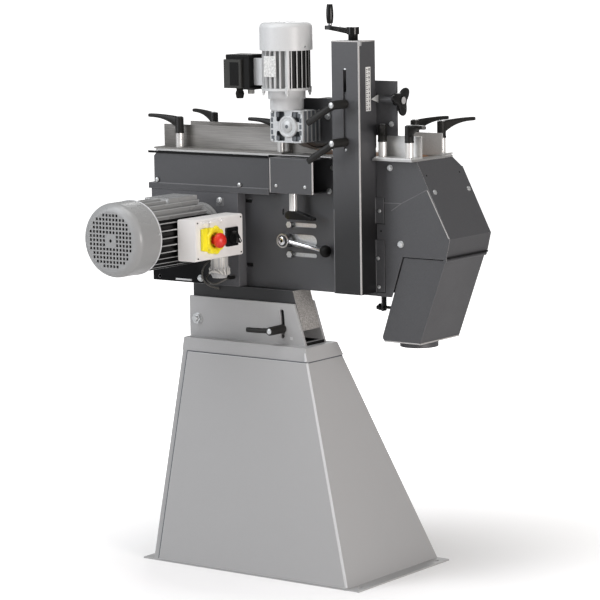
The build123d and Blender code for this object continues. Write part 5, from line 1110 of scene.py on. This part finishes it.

# %% [markdown]
# ## Tabs and joints
# Two tabs hold the deflector's cover to the column, and dark lines part the sheets from each
# other. Black strips under the infeed table's front edge and in the gap between the deflector's
# cover and the chute are painted shade. Thin blocks on the surface show all of these. Grooves
# cut into the sheets would be truer, but at a pixel or two nobody could tell.

# %% Cover tabs and table joints
tabs = bmesh.new()
# A paler strip on each tab's left edge is a painted highlight.
for low, high in ((962, 1027), (784, 918)):
    block(tabs, (381, -146, low), (407, -142.5, high))
    block(tabs, (380.4, -146.6, low - 0.6), (382.4, -142.5, high + 0.6), part=3)
    block(tabs, (406.4, -143.4, low - 1.6), (408.2, -142.5, high + 0.6), part=1)
    block(tabs, (381, -143.4, low - 2.2), (408, -142.5, low + 0.2), part=1)
# Painted shade: a black strip fills the gap between the deflector's cover and the chute.
block(tabs, (592, -139, 882), (603, 44, 885), part=1)
block(tabs, (-117, -174, 985), (-91, -172.8, 1006), part=3)
# Painted shadow: black strips below the infeed table's front edge.
block(tabs, (-346, -175.6, 1118.5), (59.5, -174, 1124.8), part=1)
block(tabs, (60, -172.5, 1125.1), (261.5, -171.5, 1127.4), part=1)
block(tabs, (-260, -174.4, 776.5), (-205, -172.5, 781), part=2)
for x, z in ((-32, 998), (-32, 829)):
    block(tabs, (x - 10, -140.6, z - 4), (x + 10, -139, z + 4), part=1)
build("cover_tabs", tabs, [dark_paint, ink_and_shade, light_edge, dark_edge], "head", 0.4)

# %% [markdown]
# ## Star knob and fence end
# The star knob that locks the carriage has three lobes with hollow flanks. Its outline is a
# circle whose radius swings three times per turn. The front fence ends in a low tongue under
# the feed wheel, cut to a falling curve.

# %% Star knob


def star_ring(x, scale):
    """The knob's outline at x; scale draws it in where the edge is rounded."""
    ring = []
    for a in angles(72):
        swing = 0.5 + 0.5 * cos(3 * (a - radians(44)))
        reach = scale * (20.5 + 20.5 * swing**1.5)
        ring.append((x, star_y + reach * cos(a), star_z + reach * sin(a)))
    return ring


star = bmesh.new()
screw_axis = axis_at(0, star_y, star_z, "Y")
levels = ((452.5, 0.84), (453.8, 0.95), (456.5, 1.0), (461, 1.0), (464, 0.95), (465.3, 0.82))
loft(star, [star_ring(x, scale) for x, scale in levels])
turned(star, [(13, 440.4), (14, 441.5), (14.5, 453)], screw_axis)
turned(star, [(12.5, 464.5), (12.5, 466.4), (11.5, 467)], screw_axis, 32, 1)
turned(star, [(9.5, 466.5), (9.5, 467.3), (1, 467.4)], screw_axis, 32, 2)
turned(star, [(4.4, 420.6), (5, 421.4), (5, 441)], screw_axis, 20, 3)
finishes = [gloss_plastic, ink_and_shade, mid_plastic, turned_metal]
piece = build("star_moulding", star, finishes, "star_knob")
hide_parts("star_knob")

# %% Fence tongue
tongue = bmesh.new()
fall = [
    (97, 1157), (108, 1155.5), (120, 1152.5), (133, 1149.2),
    (150, 1145), (172, 1141.2), (192, 1139.2), (204, 1138.6),
]
outline = [(97, 1130.4)] + fall + [(204, 1130.4)]
slab(tongue, [(x, -119.6, z) for x, z in outline], (0, 4, 0))
build("fence_tongue", tongue, [fence_metal], "infeed_front_fence", 0.3)

# %% [markdown]
# ## Tilt joint
# The head tilts about a thick bolt in the bracket and is clamped by a lever on a slotted plate.
# The bolt's head bears on a plain washer, and a small pale patch lies beside the lever. Little
# light comes between the bracket's cheeks, so a black plate on the floor there is painted shade.

# %% Washer, patch and dark gap
tilt = bmesh.new()
tilt_axis = axis_at(tilt_x, 0, tilt_z)
turned(tilt, [(15.5, 181.5), (15.5, 183.6), (14.8, 184.2), (9, 184.2)], tilt_axis)
turned(tilt, [(8, 190), (8, 194), (7, 196), (2, 196)], tilt_axis, 24)
block(tilt, (129, -182.8, 643), (137, -181.6, 651), part=2)
# Painted shade: a black plate on the floor between the cheeks.
block(tilt, (100, -172, 636), (166, -102, 638), part=1)
build("tilt_washers", tilt, [zinc, ink_and_shade, light_edge], "stand")

# %% [markdown]
# ## Pedestal seams
# The pedestal's front is a separate panel in a folded frame. Its joint shows as a thin dark line,
# and the folded corner to its right carries a painted highlight. A cover strip ends in a dark
# line below the top.

# %% Seams and the folded corner
seams = bmesh.new()
# The pale rods on the folded corner are a painted highlight; the dark ones are the joints.
wires(
    seams,
    ((324.2, -214.4, 8), (207.0, -214.4, 592), 2.8, 1),
    ((-306.4, -216.6, 8), (-190.4, -216.6, 592), 1.7, 0),
    ((-190.4, -216.6, 592.8), (205, -216.6, 592.8), 1.5, 0),
    ((207.8, -213, 592), (207.8, -59, 592), 1.5, 0),
)
rod(seams, (204, -216, 596), (201, -216, 618), 4.0, 2.0, sides=12, part=1)
build("pedestal_seams", seams, [pocket_cast, folded_edge], "stand", sharper_than=60)

# %% [markdown]
# ## Rims on the motor and the belt tension
# The fan's cover ends in a rolled lip, and the tension lever's hub in a bright cap over a black
# washer. All are round about an axis that runs front to back, so they are turned. The lip is a
# ring without caps, so its profile closes on itself.

# %% Motor cover lip
lip = bmesh.new()
roll = [(95.5, 459), (97.6, 458.6), (98.4, 460), (98.4, 462), (97.4, 463.5), (95.5, 463)]
turned(lip, roll, axis_at(motor_x, 0, motor_z), 72, closed=True)
# The lip's pale finish is a painted highlight on the rolled rim.
build("fan_cover_lip", lip, [folded_edge], "head", sharper_than=60)

# %% Tension hub
hub = bmesh.new()
hub_axis = axis_at(tension_x, 0, tension_z)
turned(hub, [(15, 160), (15, 161.2), (14, 161.8), (12, 161.8)], hub_axis, part=1)
turned(hub, [(11, 160), (11, 164.5), (9.5, 165.5), (4, 165.5), (3, 161.8), (0.5, 161.8)], hub_axis)
build("tension_hub_cap", hub, [chrome, black_paint], "tension_lever")

# %% [markdown]
# ## Leads
# Two thin leads come out of the tray under the switch box, hang in a loose bow and go back into
# it. A cord is drawn as one smooth NURBS spline through listed control points, and the bevel
# gives it its thickness.

# %% Leads under the switch box
lead_radius = 0.0025


def lead(name, route):
    """A cord through given control points in mm; its length is in metres."""
    curve = bpy.data.curves.new(name, "CURVE")
    curve.dimensions = "3D"
    curve.bevel_depth, curve.bevel_resolution = lead_radius, 3
    spline = curve.splines.new("NURBS")
    spline.points.add(len(route) - 1)
    for point, place in zip(spline.points, route):
        point.co = (*(value / 1000 for value in place), 1)
    spline.order_u, spline.use_endpoint_u = 3, True
    curve.materials.append(lead_skin)
    piece = show(name, curve)
    settle(piece, "head")
    print(name, "measures", round(spline.calc_length(), 4), "m")


lead("lead_down", [
    (-115, -174, 846), (-123, -208, 842), (-136, -222, 806), (-126, -210, 772), (-112, -174, 762),
])
lead("lead_across", [
    (-138, -174, 802), (-129, -214, 799), (-106, -221, 783),
    (-86, -219, 780), (-68, -192, 795), (-62, -174, 800),
])
